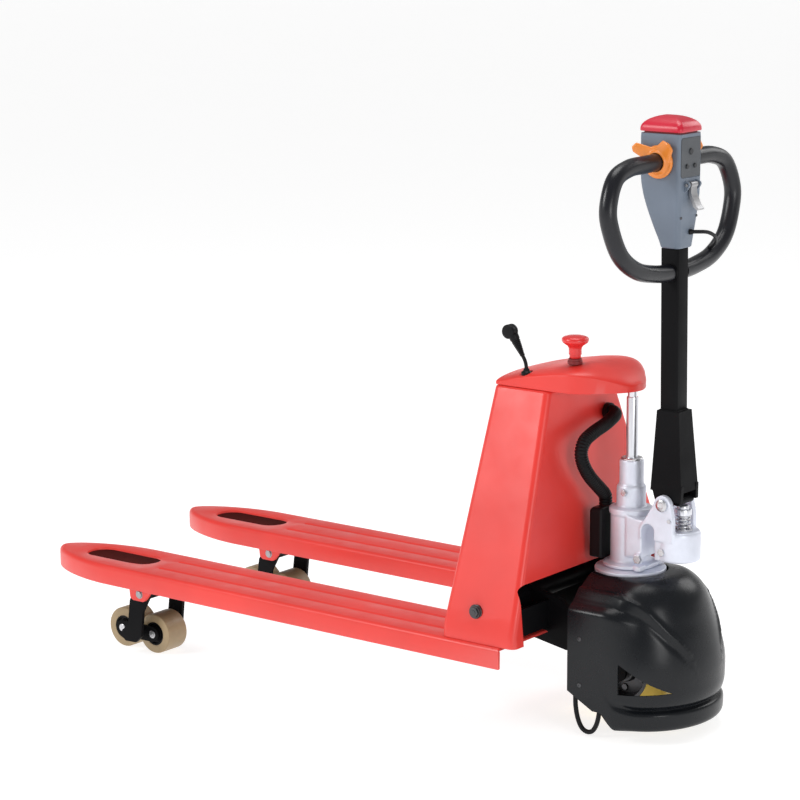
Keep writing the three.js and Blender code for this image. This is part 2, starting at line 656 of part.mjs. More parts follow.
function headHousing() {
  const profile = side(polygon(
    [1318, HEAD_TOP], [1318, 1030], [1330, 985], [1358, HEAD_BOTTOM], [1396, HEAD_BOTTOM],
    [1400, 950], [1404, 1000], [1404, HEAD_TOP],
  ), -HEAD_HALF - 10, HEAD_HALF + 10);
  const breadth = solid(front(polygon(
    [-HEAD_HALF, HEAD_TOP], [-HEAD_HALF, 1010], [-24, HEAD_BOTTOM],
    [24, HEAD_BOTTOM], [HEAD_HALF, 1010], [HEAD_HALF, HEAD_TOP],
  ), 1300, 1420));
  const cavity = box(1323, 1399, -33, 33, 1034, HEAD_TOP + 10);
  const lugs = [box(1398, 1413, 16.5, 21, 1012, 1030), box(1398, 1413, -21, -16.5, 1012, 1030)];
  const bore = rodZ(SPIGOT_X, 0, HEAD_BOTTOM - 10, 961, 12 + GAP, 20);
  const leverPin = rodY(LEVER.x, LEVER.z, -30, 30, 3 + GAP, 12);
  return cut(join(profile.intersect(breadth), ...lugs), cavity, bore, leverPin);
}

function loweringLever() {
  const blade = side(polygon(
    [1406, 1025], [1411.5, 1025], [1411.5, 1004], [1421, 984], [1428, 978],
    [1425, 975], [1416, 981], [1407, 1000],
  ), -10, 10);
  return join(blade, rodY(LEVER.x, LEVER.z, -23, 23, 3, 12));
}

function stopCap() {
  const seam = 3.5;
  const crown = new THREE.Shape();
  crown.moveTo(1316, HEAD_TOP + seam);
  crown.lineTo(1406, HEAD_TOP + seam);
  crown.lineTo(1405, HEAD_TOP + 12);
  crown.quadraticCurveTo(1362, TRUCK_TOP + 19, 1317, HEAD_TOP + 14);
  const across = new THREE.Shape();
  across.moveTo(-HEAD_HALF, HEAD_TOP);
  across.lineTo(HEAD_HALF, HEAD_TOP);
  across.lineTo(HEAD_HALF, HEAD_TOP + 14);
  across.quadraticCurveTo(0, TRUCK_TOP + 30, -HEAD_HALF, HEAD_TOP + 14);
  const lid = side(crown, -HEAD_HALF, HEAD_HALF).intersect(solid(front(across, 1300, 1420)));
  const trimmed = lid.intersect(box(1300, 1420, -50, 50, HEAD_TOP, TRUCK_TOP));
  return join(trimmed, box(1350, 1374, -12, 12, HEAD_TOP - 30, HEAD_TOP + 8));
}

function throttleWing(s) {
  const { x, z } = THROTTLE;
  const [y0, y1] = s > 0 ? [HEAD_HALF + 1, 48] : [-48, -HEAD_HALF - 1];
  const [w0, w1] = s > 0 ? [HEAD_HALF + 2, 60] : [-60, -HEAD_HALF - 2];
  const disc = rodY(x, z, y0, y1, 30, 28);
  const backWing = side(stadium(x - 20, z + 16, x - 46, z + 27, 7), w0, w1, 2, 1);
  const frontWing = side(stadium(x + 14, z + 22, x + 34, z + 36, 7), w0, w1, 2, 1);
  return cut(join(disc, backWing, frontWing), rodY(x, z, -70, 70, LOOP_R + 3 * GAP, 24));
}

// The throttles' cable leaves the back of the head and enters the handle loop from above
const HEAD_CABLE = [
  [1401.8, 8, 934], [1411, 16, 934], [1417, 40, 931], [1413, 72, 920], [1398, 100, 905], [1378, 116, 892],
];

// ---------------------------------------------------------------- harness

// The corrugated conduit from the battery box to the junction block sways to the left
const CONDUIT = [
  [1183.6, 73, 568], [1197, 72, 568], [1212, 56, 566], [1216, 20, 556], [1217, -22, 547],
  [1218, -54, 536], [1219, -67, 516], [1221, -62, 492], [1224, -44, 466], [1228, -18, 441],
  [1230, -2, 425], [1230, 0, 409],
];

// The drive cable's slack hangs in a loop out of the cover's left edge
const LOOP_CABLE = [
  [1259, -139, 84], [1259, -139, 70], [1260, -139, 52], [1265, -139, 30], [1274, -139, 14],
  [1286, -139, 8.5], [1298, -139, 13], [1307, -139, 29], [1312, -139, 52], [1313, -139, 70],
  [1313, -139, 84],
];

// ---------------------------------------------------------------- assembly

for (const [name, s] of SIDES) {
  const across = [0, s * FORK_Y, 0];
  add(`${name}_fork`, fork(s).translate(across), redPaint);
  add(`${name}_arm_pin`, armPin().translate(across), steel);
  add(`${name}_roller_arm`, rollerArm().translate(across), blackSteel);
  add(`${name}_bogie`, bogie().translate(across), blackSteel);
  for (const [place, d] of [['front', -1], ['rear', 1]]) {
    const x = BOGIE_PIN.x + d * ROLLER_HALF_PITCH;
    const hub = ring(x, ROLLER_R, ROLLER_WIDTH / 2 - 1, 24, 8 + GAP, 24);
    const tyre = ring(x, ROLLER_R, ROLLER_WIDTH / 2, ROLLER_R, 24 + GAP, 28);
    add(`${name}_${place}_roller_hub`, hub.translate(across), blackPlastic);
    add(`${name}_${place}_roller_tyre`, tyre.translate(across), amberTyre);
  }
  add(`${name}_push_rod`, pushRod().translate(across), steel);
}
add('rocker_frame', rocker(), blackSteel);
add('heel_shaft', rodY(HEEL_PIN.x, HEEL_PIN.z, -271, 271, 12), steel);
add('heel_crossmember', box(1060, 1100, -INNER_FLANK, INNER_FLANK, 148, 183), redPaint);
add('battery_box', batteryBox(), redPaint);
add('battery_pack', box(1062, 1160, -140, 140, 300, 470), blackPlastic);
add('motor_controller', box(1064, 1150, -90, 90, 482, 540), silverCasting);
add('built_in_charger', box(1064, 1140, -75, 75, 552, 612), greyPlastic);
add('top_cap', topCap(), redPaint);
add('piston_rod', rodZ(STEER_X, 0, 430, BOX_TOP, 11), chrome);
add('stop_collar', rodZ(ESTOP.x, ESTOP.y, ESTOP.seat - 4 + GAP, ESTOP.seat, 14), crimsonPlastic);
add('stop_button', stopButton(), crimsonPlastic);
add('charger_gland', chargerGland(), blackPlastic);
add('charger_lead', tube(CHARGER_LEAD, 3.5, 6, 8), blackPlastic);
add('charger_plug', chargerPlug(), blackPlastic);
add('harness_conduit', tube(CONDUIT, 13, 20, 10), blackPlastic);
add('junction_block', junctionBlock(), blackPlastic);
add('base_bracket', basePlate(), blackSteel);
add('turntable_ring', turntable(), steel);
add('drive_cover', driveCover(), blackPlastic);
add('loop_cable', tube(LOOP_CABLE, 4.5, 16, 8), blackPlastic);
add('wheel_yoke', wheelYoke(), blackSteel);
add('drive_motor', driveMotor(), blackSteel);
add('drive_hub', ring(STEER_X, WHEEL_R, WHEEL_WIDTH / 2 - 1, 64, 15 + GAP, 24), steel);
add('drive_tyre', ring(STEER_X, WHEEL_R, WHEEL_WIDTH / 2, WHEEL_R, 64 + GAP, 40), amberTyre);
add('pump_body', pumpBody(), silverCasting);
add('pump_plunger', plunger(), chrome);
add('plunger_spring', plungerSpring(), steel);
add('tiller_pin', tillerPin(), steel);
add('tiller_bracket', tillerBracket(), blackSteel);
add('tiller_tube', tillerTube(), blackSteel);
add('handle_loop', handleLoop(), blackPlastic);
add('head_housing', headHousing(), greyPlastic);
add('head_circuit_board', box(1328, 1394, -28, 28, 1040, 1044), greyPlastic);
add('head_stop_cap', stopCap(), crimsonPlastic);
add('left_throttle', throttleWing(-1), orangePlastic);
add('right_throttle', throttleWing(1), orangePlastic);
add('lowering_lever', loweringLever(), chrome);
add('head_cable', tube(HEAD_CABLE, 3.5, 14, 8), blackPlastic);

truck.position.x = -LENGTH / 2;

export default truck;
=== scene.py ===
"""Looks of an electric pallet truck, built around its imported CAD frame.

Distances inside the piece builders are in millimetres, with x measured from the fork tips,
and at() turns them into the frame's metres.
"""
import json
import math

import bmesh
import bpy
from mathutils import Matrix, Vector

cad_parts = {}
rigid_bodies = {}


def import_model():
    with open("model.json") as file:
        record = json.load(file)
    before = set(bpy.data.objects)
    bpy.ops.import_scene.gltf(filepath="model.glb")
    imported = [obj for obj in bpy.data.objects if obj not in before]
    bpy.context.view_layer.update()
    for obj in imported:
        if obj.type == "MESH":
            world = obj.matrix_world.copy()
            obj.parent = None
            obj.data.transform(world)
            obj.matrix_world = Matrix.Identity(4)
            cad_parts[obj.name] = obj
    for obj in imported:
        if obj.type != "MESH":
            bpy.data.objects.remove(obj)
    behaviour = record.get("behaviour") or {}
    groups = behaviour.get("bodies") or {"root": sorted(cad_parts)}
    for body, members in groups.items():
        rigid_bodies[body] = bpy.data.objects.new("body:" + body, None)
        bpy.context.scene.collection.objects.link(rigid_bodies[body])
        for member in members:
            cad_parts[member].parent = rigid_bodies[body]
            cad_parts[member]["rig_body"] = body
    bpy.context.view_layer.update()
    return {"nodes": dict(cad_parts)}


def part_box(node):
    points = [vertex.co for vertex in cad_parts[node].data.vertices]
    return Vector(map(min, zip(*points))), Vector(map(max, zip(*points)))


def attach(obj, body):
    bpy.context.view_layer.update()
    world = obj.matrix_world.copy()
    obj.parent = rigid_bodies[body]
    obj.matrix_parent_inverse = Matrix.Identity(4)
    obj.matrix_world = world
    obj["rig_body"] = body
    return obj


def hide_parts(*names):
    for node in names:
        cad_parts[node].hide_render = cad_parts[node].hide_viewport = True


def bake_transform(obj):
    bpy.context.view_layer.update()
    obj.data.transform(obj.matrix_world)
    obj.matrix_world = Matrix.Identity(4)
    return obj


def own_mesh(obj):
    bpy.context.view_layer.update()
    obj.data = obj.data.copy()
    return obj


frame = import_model()

MM = 0.001
TIP_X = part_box("left_fork")[0].x
FORK_Y = 202
FORK_TOP = 184
SIDES = (("left", -1), ("right", 1))
STEER_AXIS = (1287, 0, 0)
PLUNGER_AXIS = (1400, 0, 0)
WHEEL_CENTRE = (1287, 0, 105)
HEEL_SHAFT = (1121, 0, 239)
TILLER_PIN = (1380, 0, 434)
LEVER_PIN = (1408.5, 0, 1021)
ARM_PIN_X, ARM_PIN_Z = 290, 137
ROLLER_X = {"front": 198, "rear": 282}
ROLLER_RADIUS = 41
LEAD_Y = -92


def at(x, y, z):
    """A point in the frame, from millimetres behind the fork tips."""
    return Vector((TIP_X + x * MM, y * MM, z * MM))


def link(name, data):
    """A new object in the scene."""
    made = bpy.data.objects.new(name, data)
    bpy.context.scene.collection.objects.link(made)
    return made


def set_inputs(node, values):
    for name, value in values.items():
        node.inputs[name].default_value = value


# ---- camera, light and floor


def add_camera():
    """Looks from beyond the tiller, from the side and a little above the head."""
    place = at(3896, -4074, 1590)
    azimuth, elevation, roll = math.radians(37.73), math.radians(11.44), math.radians(-0.28)
    back = Vector((
        math.sin(azimuth) * math.cos(elevation),
        -math.cos(azimuth) * math.cos(elevation),
        math.sin(elevation),
    ))
    right = Vector((math.cos(azimuth), math.sin(azimuth), 0))
    up = back.cross(right)
    turn = Matrix((right, up, back)).transposed().to_4x4() @ Matrix.Rotation(roll, 4, "Z")
    data = bpy.data.cameras.new("camera")
    data.sensor_width = 36
    data.lens = 119.8
    data.clip_end = 60
    camera = link("camera", data)
    camera.matrix_world = Matrix.Translation(place) @ turn
    bpy.context.scene.camera = camera


def add_light(name, place, target, size, power):
    data = bpy.data.lights.new(name, "AREA")
    data.shape = "DISK"
    data.size = size
    data.energy = power
    way = Vector(target) - Vector(place)
    turn = way.to_track_quat("-Z", "Y").to_matrix().to_4x4()
    link(name, data).matrix_world = Matrix.Translation(place) @ turn


def add_studio():
    middle = (0, 0, 0.4)
    add_light("key", (-2.2, -3.8, 3.4), middle, 2.0, 106)
    add_light("top", (0.2, 0.4, 4.4), middle, 2.6, 70)
    add_light("fill", (3.9, -1.6, 1.5), middle, 1.2, 26)
    add_light("rim", (1.4, 3.8, 2.8), middle, 2.0, 28)
    world = bpy.data.worlds.new("studio")
    world.use_nodes = True
    set_inputs(world.node_tree.nodes["Background"], {"Color": (1, 1, 1, 1), "Strength": 0.3})
    bpy.context.scene.world = world
    bpy.context.scene.view_settings.view_transform = "Standard"
    flat, rise, sides = 40, 8, 96
    bend = [math.pi / 2 * i / 12 for i in range(1, 13)]
    profile = [(2, 0), (12, 0), (flat, 0)]
    profile += [(flat + rise * math.sin(t), rise - rise * math.cos(t)) for t in bend]
    angles = [2 * math.pi * k / sides for k in range(sides)]
    bm = bmesh.new()
    rings = [[bm.verts.new((r * math.cos(t), r * math.sin(t), z)) for t in angles] for r, z in profile]
    bm.faces.new(rings[0])
    for low, high in zip(rings, rings[1:]):
        for k in range(sides):
            bm.faces.new((low[k], high[k], high[(k + 1) % sides], low[(k + 1) % sides]))
    mesh = bpy.data.meshes.new("floor")
    bm.to_mesh(mesh)
    bm.free()
    paper = surface("studio_paper", (0.45, 0.45, 0.45), 0.9, grain=(40, 0.01), mottle=(0.4, 0.004),
        specular=0.1)
    glow = {"Emission Color": (1, 1, 1, 1), "Emission Strength": 0.8}
    set_inputs(paper.node_tree.nodes["Principled BSDF"], glow)
    mesh.materials.append(paper)
    for polygon in mesh.polygons:
        polygon.use_smooth = True
    link("floor", mesh)


# ---- materials

materials = {}


def surface(name, color, rough, metal=0.0, grain=None, mottle=(6, 0.06), wear=0.0,
            brushed=None, coat=0.0, rough_spread=0.08, specular=0.5):
    """A procedural material: mottled colour, uneven gloss, a bump of grain or brushing, and sharp edges
    lightened by pointiness, partly paint rubbed off the edges and partly a painted edge highlight.

    grain and mottle are (size of the pattern per metre, strength), brushed is (axis stretch, strength).
    """
    if name in materials:
        return materials[name]
    made = bpy.data.materials.new(name)
    made.use_nodes = True
    tree = made.node_tree
    nodes, links = tree.nodes, tree.links
    shader = nodes["Principled BSDF"]
    place = nodes.new("ShaderNodeTexCoord")

    def noise_of(scale, detail, stretch=(1, 1, 1)):
        shift = nodes.new("ShaderNodeMapping")
        set_inputs(shift, {"Scale": stretch})
        links.new(place.outputs["Object"], shift.inputs["Vector"])
        texture = nodes.new("ShaderNodeTexNoise")
        set_inputs(texture, {"Scale": scale, "Detail": detail})
        links.new(shift.outputs["Vector"], texture.inputs["Vector"])
        return texture.outputs["Fac"]

    def between(factor, low, high):
        spread = nodes.new("ShaderNodeMapRange")
        set_inputs(spread, {"From Min": 0.3, "From Max": 0.7, "To Min": low, "To Max": high})
        links.new(factor, spread.inputs["Value"])
        return spread.outputs["Result"]

    def mixed(factor, first, second):
        mix = nodes.new("ShaderNodeMix")
        mix.data_type = "RGBA"
        links.new(factor, mix.inputs["Factor"])
        for socket, value in ((mix.inputs["A"], first), (mix.inputs["B"], second)):
            if isinstance(value, tuple):
                socket.default_value = (*value, 1)
            else:
                links.new(value, socket)
        return mix.outputs["Result"]

    scale, strength = mottle
    cloud = noise_of(scale, 4)
    light = tuple(min(1, c * (1 + strength) + strength * 0.02) for c in color)
    dark = tuple(c * (1 - strength) for c in color)
    tint = mixed(between(cloud, 0, 1), dark, light)
    if wear:
        # Lighter colour on sharp convex edges found by pointiness: partly paint rubbed off the edges, partly
        # a painted highlight where the edges catch the light.
        geometry = nodes.new("ShaderNodeNewGeometry")
        ramp = nodes.new("ShaderNodeMapRange")
        set_inputs(ramp, {"From Min": 0.53, "From Max": 0.62, "To Max": wear})
        links.new(geometry.outputs["Pointiness"], ramp.inputs["Value"])
        rubbed_and_lit_edge_colour = tuple(min(1, c * 0.55 + 0.25) for c in color)
        tint = mixed(ramp.outputs["Result"], tint, rubbed_and_lit_edge_colour)
    links.new(tint, shader.inputs["Base Color"])
    links.new(between(noise_of(scale * 3, 6), max(0.02, rough - rough_spread), rough + rough_spread),
              shader.inputs["Roughness"])
    set_inputs(shader, {"Metallic": metal, "Specular IOR Level": specular, "Coat Weight": coat,
        "Coat Roughness": 0.25})
    bump_source = None
    if grain:
        bump_source, bump_strength = noise_of(grain[0], 3), grain[1]
    if brushed:
        bump_source, bump_strength = noise_of(260, 4, brushed[0]), brushed[1]
    if bump_source:
        bump = nodes.new("ShaderNodeBump")
        set_inputs(bump, {"Strength": bump_strength, "Distance": 0.001})
        links.new(bump_source, bump.inputs["Height"])
        links.new(bump.outputs["Normal"], shader.inputs["Normal"])
    made.diffuse_color = (*color, 1)
    materials[name] = made
    return made


def finish(*values, **more):
    """A material that is made when a piece first asks for it."""
    return lambda: surface(*values, **more)


red_paint = finish("red_powder_coat", (0.80, 0.038, 0.028), 0.40, grain=(420, 0.1), wear=0.2, coat=0.2)
# Painted shade: a near-black red for the inner faces of the fork channels, standing in for the shade inside
# them.
underside_primer = finish("underside_primer", (0.10, 0.010, 0.008), 0.6, grain=(420, 0.1), specular=0.1)
black_paint = finish("black_powder_coat", (0.0042, 0.0042, 0.005), 0.42, grain=(500, 0.2), wear=0.03,
    specular=0.06)
cover_plastic = finish("moulded_black_plastic", (0.0055, 0.0068, 0.009), 0.28, grain=(900, 0.05),
    mottle=(9, 0.1), rough_spread=0.03, specular=0.3)
black_plastic = finish("black_plastic", (0.006, 0.006, 0.007), 0.4, grain=(1100, 0.2), specular=0.16)
handle_rubber = finish("handle_coating", (0.008, 0.0085, 0.012), 0.3, grain=(700, 0.1), specular=0.42)
cable_rubber = finish("cable_rubber", (0.006, 0.006, 0.007), 0.5, grain=(1400, 0.25), specular=0.2)
grey_plastic = finish("grey_plastic", (0.155, 0.19, 0.245), 0.42, grain=(1200, 0.22), mottle=(14, 0.08),
    wear=0.1)
orange_plastic = finish("orange_plastic", (0.85, 0.26, 0.035), 0.3, grain=(900, 0.08), coat=0.2)
crimson_plastic = finish("crimson_plastic", (0.62, 0.006, 0.034), 0.34, grain=(700, 0.05), coat=0.25)
signal_red = finish("signal_red_plastic", (0.78, 0.03, 0.03), 0.3, grain=(700, 0.05), coat=0.3)
dark_red = finish("dark_red_plastic", (0.22, 0.012, 0.014), 0.4, grain=(700, 0.05))
silver_casting = finish("silver_casting", (0.76, 0.79, 0.89), 0.42, 0.3, grain=(330, 0.35),
    mottle=(25, 0.07), wear=0.3)
chrome = finish("polished_chrome", (0.80, 0.81, 0.86), 0.3, 0.85, brushed=((1, 1, 14), 0.03),
    rough_spread=0.03)
bright_steel = finish("zinc_plated_steel", (0.62, 0.62, 0.64), 0.3, 0.95, brushed=((6, 1, 6), 0.1),
    mottle=(40, 0.1))
raw_steel = finish("machined_steel", (0.42, 0.42, 0.43), 0.38, 0.9, brushed=((1, 10, 1), 0.12),
    mottle=(30, 0.12))
black_steel = finish("blackened_steel", (0.09, 0.09, 0.095), 0.4, 0.9, grain=(600, 0.1))
roller_amber = finish("roller_polyurethane", (0.37, 0.27, 0.15), 0.42, grain=(300, 0.2), mottle=(22, 0.14))
wheel_amber = finish("wheel_polyurethane", (0.95, 0.62, 0.07), 0.4, grain=(300, 0.15), mottle=(20, 0.12))
board_green = finish("circuit_board_lacquer", (0.02, 0.15, 0.05), 0.35, grain=(2500, 0.3))
panel_plastic = finish("dark_grey_plastic", (0.075, 0.082, 0.092), 0.45, grain=(1200, 0.2))
button_plastic = finish("button_plastic", (0.03, 0.032, 0.036), 0.5, grain=(1500, 0.1))


# ---- mesh building


def turning(centre, axis, sides):
    """A function that places (radius, angle, along) around an axis, and the angles of the sides."""
    cx, cy, cz = centre
    spot = {
        "z": lambda r, t, a: (cx + r * math.cos(t), cy + r * math.sin(t), cz + a),
        "y": lambda r, t, a: (cx + r * math.cos(t), cy + a, cz + r * math.sin(t)),
        "x": lambda r, t, a: (cx + a, cy + r * math.cos(t), cz + r * math.sin(t)),
    }[axis]
    return spot, [2 * math.pi * i / sides for i in range(sides)]


class Body:
    """Closed surfaces gathered into one mesh, in millimetres behind the fork tips."""

    def __init__(self):
        self.bm = bmesh.new()

    def skin(self, rings, closed=False, capped=True):
        """Faces between rings of equally many vertices, in order."""
        pairs = list(zip(rings, rings[1:]))
        if closed:
            pairs.append((rings[-1], rings[0]))
        for low, high in pairs:
            for i in range(len(low)):
                j = (i + 1) % len(low)
                self.bm.faces.new((low[i], low[j], high[j], high[i]))
        if capped and not closed:
            self.bm.faces.new(list(reversed(rings[0])))
            self.bm.faces.new(rings[-1])
        return self

    def loft(self, rings, closed=False):
        """Rings of points, skinned and capped unless closed on themselves."""
        return self.skin([[self.bm.verts.new(at(*p)) for p in ring] for ring in rings], closed)

    def prism(self, outline, low, high, plane="xz"):
        """An outline in a plane, carried between two values of the third direction."""
        spot = {
            "xz": lambda a, b, c: (a, c, b),
            "xy": lambda a, b, c: (a, b, c),
            "yz": lambda a, b, c: (c, a, b),
        }[plane]
        return self.loft([[spot(a, b, c) for a, b in outline] for c in (low, high)])

    def box(self, x0, x1, y0, y1, z0, z1):
        return self.prism([(x0, y0), (x1, y0), (x1, y1), (x0, y1)], z0, z1, "xy")

    def turned(self, profile, centre, axis="z", sides=48):
        """A profile of (radius, along) pairs turned around an axis through centre."""
        spot, angles = turning(centre, axis, sides)
        return self.loft([[spot(max(r, 0.02), t, a) for t in angles] for r, a in profile])

    def rod(self, radius, low, high, centre, axis="z", sides=48):
        return self.turned([(radius, low), (radius, high)], centre, axis, sides)

    def ring(self, profile, centre, axis="z", sides=48):
        """A closed profile turned into a ring with an open middle."""
        spot, angles = turning(centre, axis, sides)
        return self.loft([[spot(r, t, a) for r, a in profile] for t in angles], closed=True)

    def hexagon(self, centre, axis, across, low, high):
        """A nut or bolt head with its corners turned back."""
        r = across / math.sqrt(3)
        profile = [(r * 0.93, low), (r, low + 0.6), (r, high - 0.8), (r * 0.9, high)]
        return self.turned(profile, centre, axis, sides=6)


def smooth_line(points, count):
    """A Catmull-Rom curve through the points, as count evenly spaced vectors."""
    knots = [Vector(p) for p in points]
    knots = [knots[0] * 2 - knots[1]] + knots + [knots[-1] * 2 - knots[-2]]
    fine = []
    for a, b, c, d in zip(knots, knots[1:], knots[2:], knots[3:]):
        for k in range(20):
            t = k / 20
            fine.append(0.5 * (2 * b + (c - a) * t + (2 * a - 5 * b + 4 * c - d) * t * t
                               + (3 * b - a - 3 * c + d) * t ** 3))
    fine.append(knots[-2])
    lengths = [0]
    for a, b in zip(fine, fine[1:]):
        lengths.append(lengths[-1] + (b - a).length)
    line = []
    k = 0
    for i in range(count):
        goal = lengths[-1] * i / (count - 1)
        while k < len(fine) - 2 and lengths[k + 1] < goal:
            k += 1
        share = (goal - lengths[k]) / max(lengths[k + 1] - lengths[k], 1e-9)
        line.append(fine[k].lerp(fine[k + 1], share))
    return line


def arc(cx, cy, r, start, end, count):
    """Points on an arc, with its angles in degrees."""
    angles = (math.radians(start + (end - start) * i / (count - 1)) for i in range(count))
    return [(cx + r * math.cos(t), cy + r * math.sin(t)) for t in angles]


def bar_outline(x0, z0, x1, z1, r, count=12):
    """A bar with round ends between two centres."""
    turn = math.degrees(math.atan2(z1 - z0, x1 - x0))
    return arc(x1, z1, r, turn - 90, turn + 90, count) + arc(x0, z0, r, turn + 90, turn + 270, count)


def round_box(x0, x1, y0, y1, r, count=6):
    """A rectangle with round corners."""
    corners = ((x1 - r, y0 + r, -90), (x1 - r, y1 - r, 0), (x0 + r, y1 - r, 90), (x0 + r, y0 + r, 180))
    return [p for cx, cy, t in corners for p in arc(cx, cy, r, t, t + 90, count)]


def level_ring(z, *box):
    """A round_box outline as points at a height."""
    return [(x, y, z) for x, y in round_box(*box)]


def both_ways(half):
    """A profile of (radius, along) pairs followed by its mirror image across along = 0."""
    return half + [(r, -a) for r, a in reversed(half)]


def facing(way, profile, base=0):
    """A profile of (radius, along) pairs that starts at base and points up or down the axis."""
    return [(r, way * (base + a)) for r, a in profile]


def averaged(table, x, reach):
    """A table's smoothed value over a span of reach on both sides of x."""
    return sum(between(table, x + reach * k) for k in (-1, -0.5, 0, 0.5, 1)) / 5


def inset(outline, distance):
    """A closed anticlockwise outline moved inwards by a distance."""
    moved = []
    count = len(outline)
    for i, (x, y) in enumerate(outline):
        before, after = outline[i - 1], outline[(i + 1) % count]
        a = Vector((x - before[0], y - before[1])).normalized()
        b = Vector((after[0] - x, after[1] - y)).normalized()
        normal = Vector((-a.y - b.y, a.x + b.x))
        normal = normal / max(normal.length_squared / 2, 0.3)
        moved.append((x + normal.x * distance, y + normal.y * distance))
    return moved


def soften(mesh, angle=35):
    for polygon in mesh.polygons:
        polygon.use_smooth = True
    mesh.set_sharp_from_angle(angle=math.radians(angle))


def closed_mesh(name, shape):
    """The mesh of a Body, with its faces pointing out."""
    bmesh.ops.recalc_face_normals(shape.bm, faces=shape.bm.faces)
    mesh = bpy.data.meshes.new(name)
    shape.bm.to_mesh(mesh)
    shape.bm.free()
    return mesh


def settled(thing):
    """Applies the object's modifiers to its mesh."""
    bpy.context.view_layer.update()
    graph = bpy.context.evaluated_depsgraph_get()
    mesh = bpy.data.meshes.new_from_object(thing.evaluated_get(graph))
    thing.modifiers.clear()
    thing.data = mesh


def made_object(name, shape, material, round_edge=0.0, segments=2, cutters=(), voxel=0.0, smooth=0,
        angle=35):
    """An object from a Body: cut, remeshed if it is cast, and with its sharp edges rounded."""
    thing = link(name, closed_mesh(name, shape))
    thing.data.materials.append(material)

    def recast(relaxing):
        remesh = thing.modifiers.new("remesh", "REMESH")
        remesh.mode = "VOXEL"
        remesh.voxel_size = voxel * MM
        if relaxing:
            relax = thing.modifiers.new("smooth", "SMOOTH")
            relax.factor = 0.5
            relax.iterations = relaxing
        settled(thing)

    if voxel:
        recast(0)
    for cutter in cutters:
        tool = link("cutter", closed_mesh("cutter", cutter))
        boolean = thing.modifiers.new("cut", "BOOLEAN")
        boolean.operation = "DIFFERENCE"
        boolean.solver = "EXACT"
        boolean.object = tool
        settled(thing)
        bpy.data.objects.remove(tool)
    if voxel:
        recast(smooth)
    if round_edge:
        bevel = thing.modifiers.new("round", "BEVEL")
        bevel.width = round_edge * MM
        bevel.segments = segments
        bevel.limit_method = "ANGLE"
        bevel.angle_limit = math.radians(32)
        bevel.miter_outer = "MITER_ARC"
        settled(thing)
    thing.data.materials.clear()
    thing.data.materials.append(material)
    soften(thing.data, 180 if voxel else angle)
    if round_edge and not voxel:
        even = thing.modifiers.new("even", "WEIGHTED_NORMAL")
        even.keep_sharp = True
        settled(thing)
    return thing


def fitted(thing, body, nodes=()):
    """A finished object that rides on a body and stands for CAD nodes."""
    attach(thing, body)
    if nodes:
        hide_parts(*nodes)
    return thing


def piece(name, shape, material, body, slot, nodes=(), **how):
    """An object made from a Body and fitted to the frame."""
    return fitted(made_object(name, shape, material, **how), body, nodes)


def refined(node, material, slot, round_edge=0.8):
    """A CAD node's own shape with clean faces, rounded edges and smooth round surfaces."""
    source = frame["nodes"][node]
    shape = Body()
    bm = shape.bm
    bm.from_mesh(source.data)
    bmesh.ops.remove_doubles(bm, verts=bm.verts, dist=2e-5)
    bmesh.ops.dissolve_limit(bm, angle_limit=math.radians(1), verts=bm.verts, edges=bm.edges)
    piece(f"{node}_finish", shape, material, source["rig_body"], slot, (node,), round_edge=round_edge,
        angle=40)


# ---- forks

FORK_HEEL = 1186
FORK_HALF = 81
FORK_SHEET = 5


def fork_outline():
    """The fork in plan around its own centre line: straight sides and a blunt round tip."""
    def bend(a, b, c, d, t):
        u = 1 - t
        return tuple(u ** 3 * a[k] + 3 * u * u * t * b[k] + 3 * u * t * t * c[k] + t ** 3 * d[k]
            for k in (0, 1))

    upper = [bend((200, FORK_HALF), (98, FORK_HALF), (0, 32), (0, 0), i / 28) for i in range(29)]
    lower = [(x, -y) for x, y in reversed(upper[:-1])]
    sides = [(200 + (FORK_HEEL - 200) * i / 12, -FORK_HALF) for i in range(1, 13)]
    return lower + sides + [(x, -y) for x, y in reversed(sides)] + upper


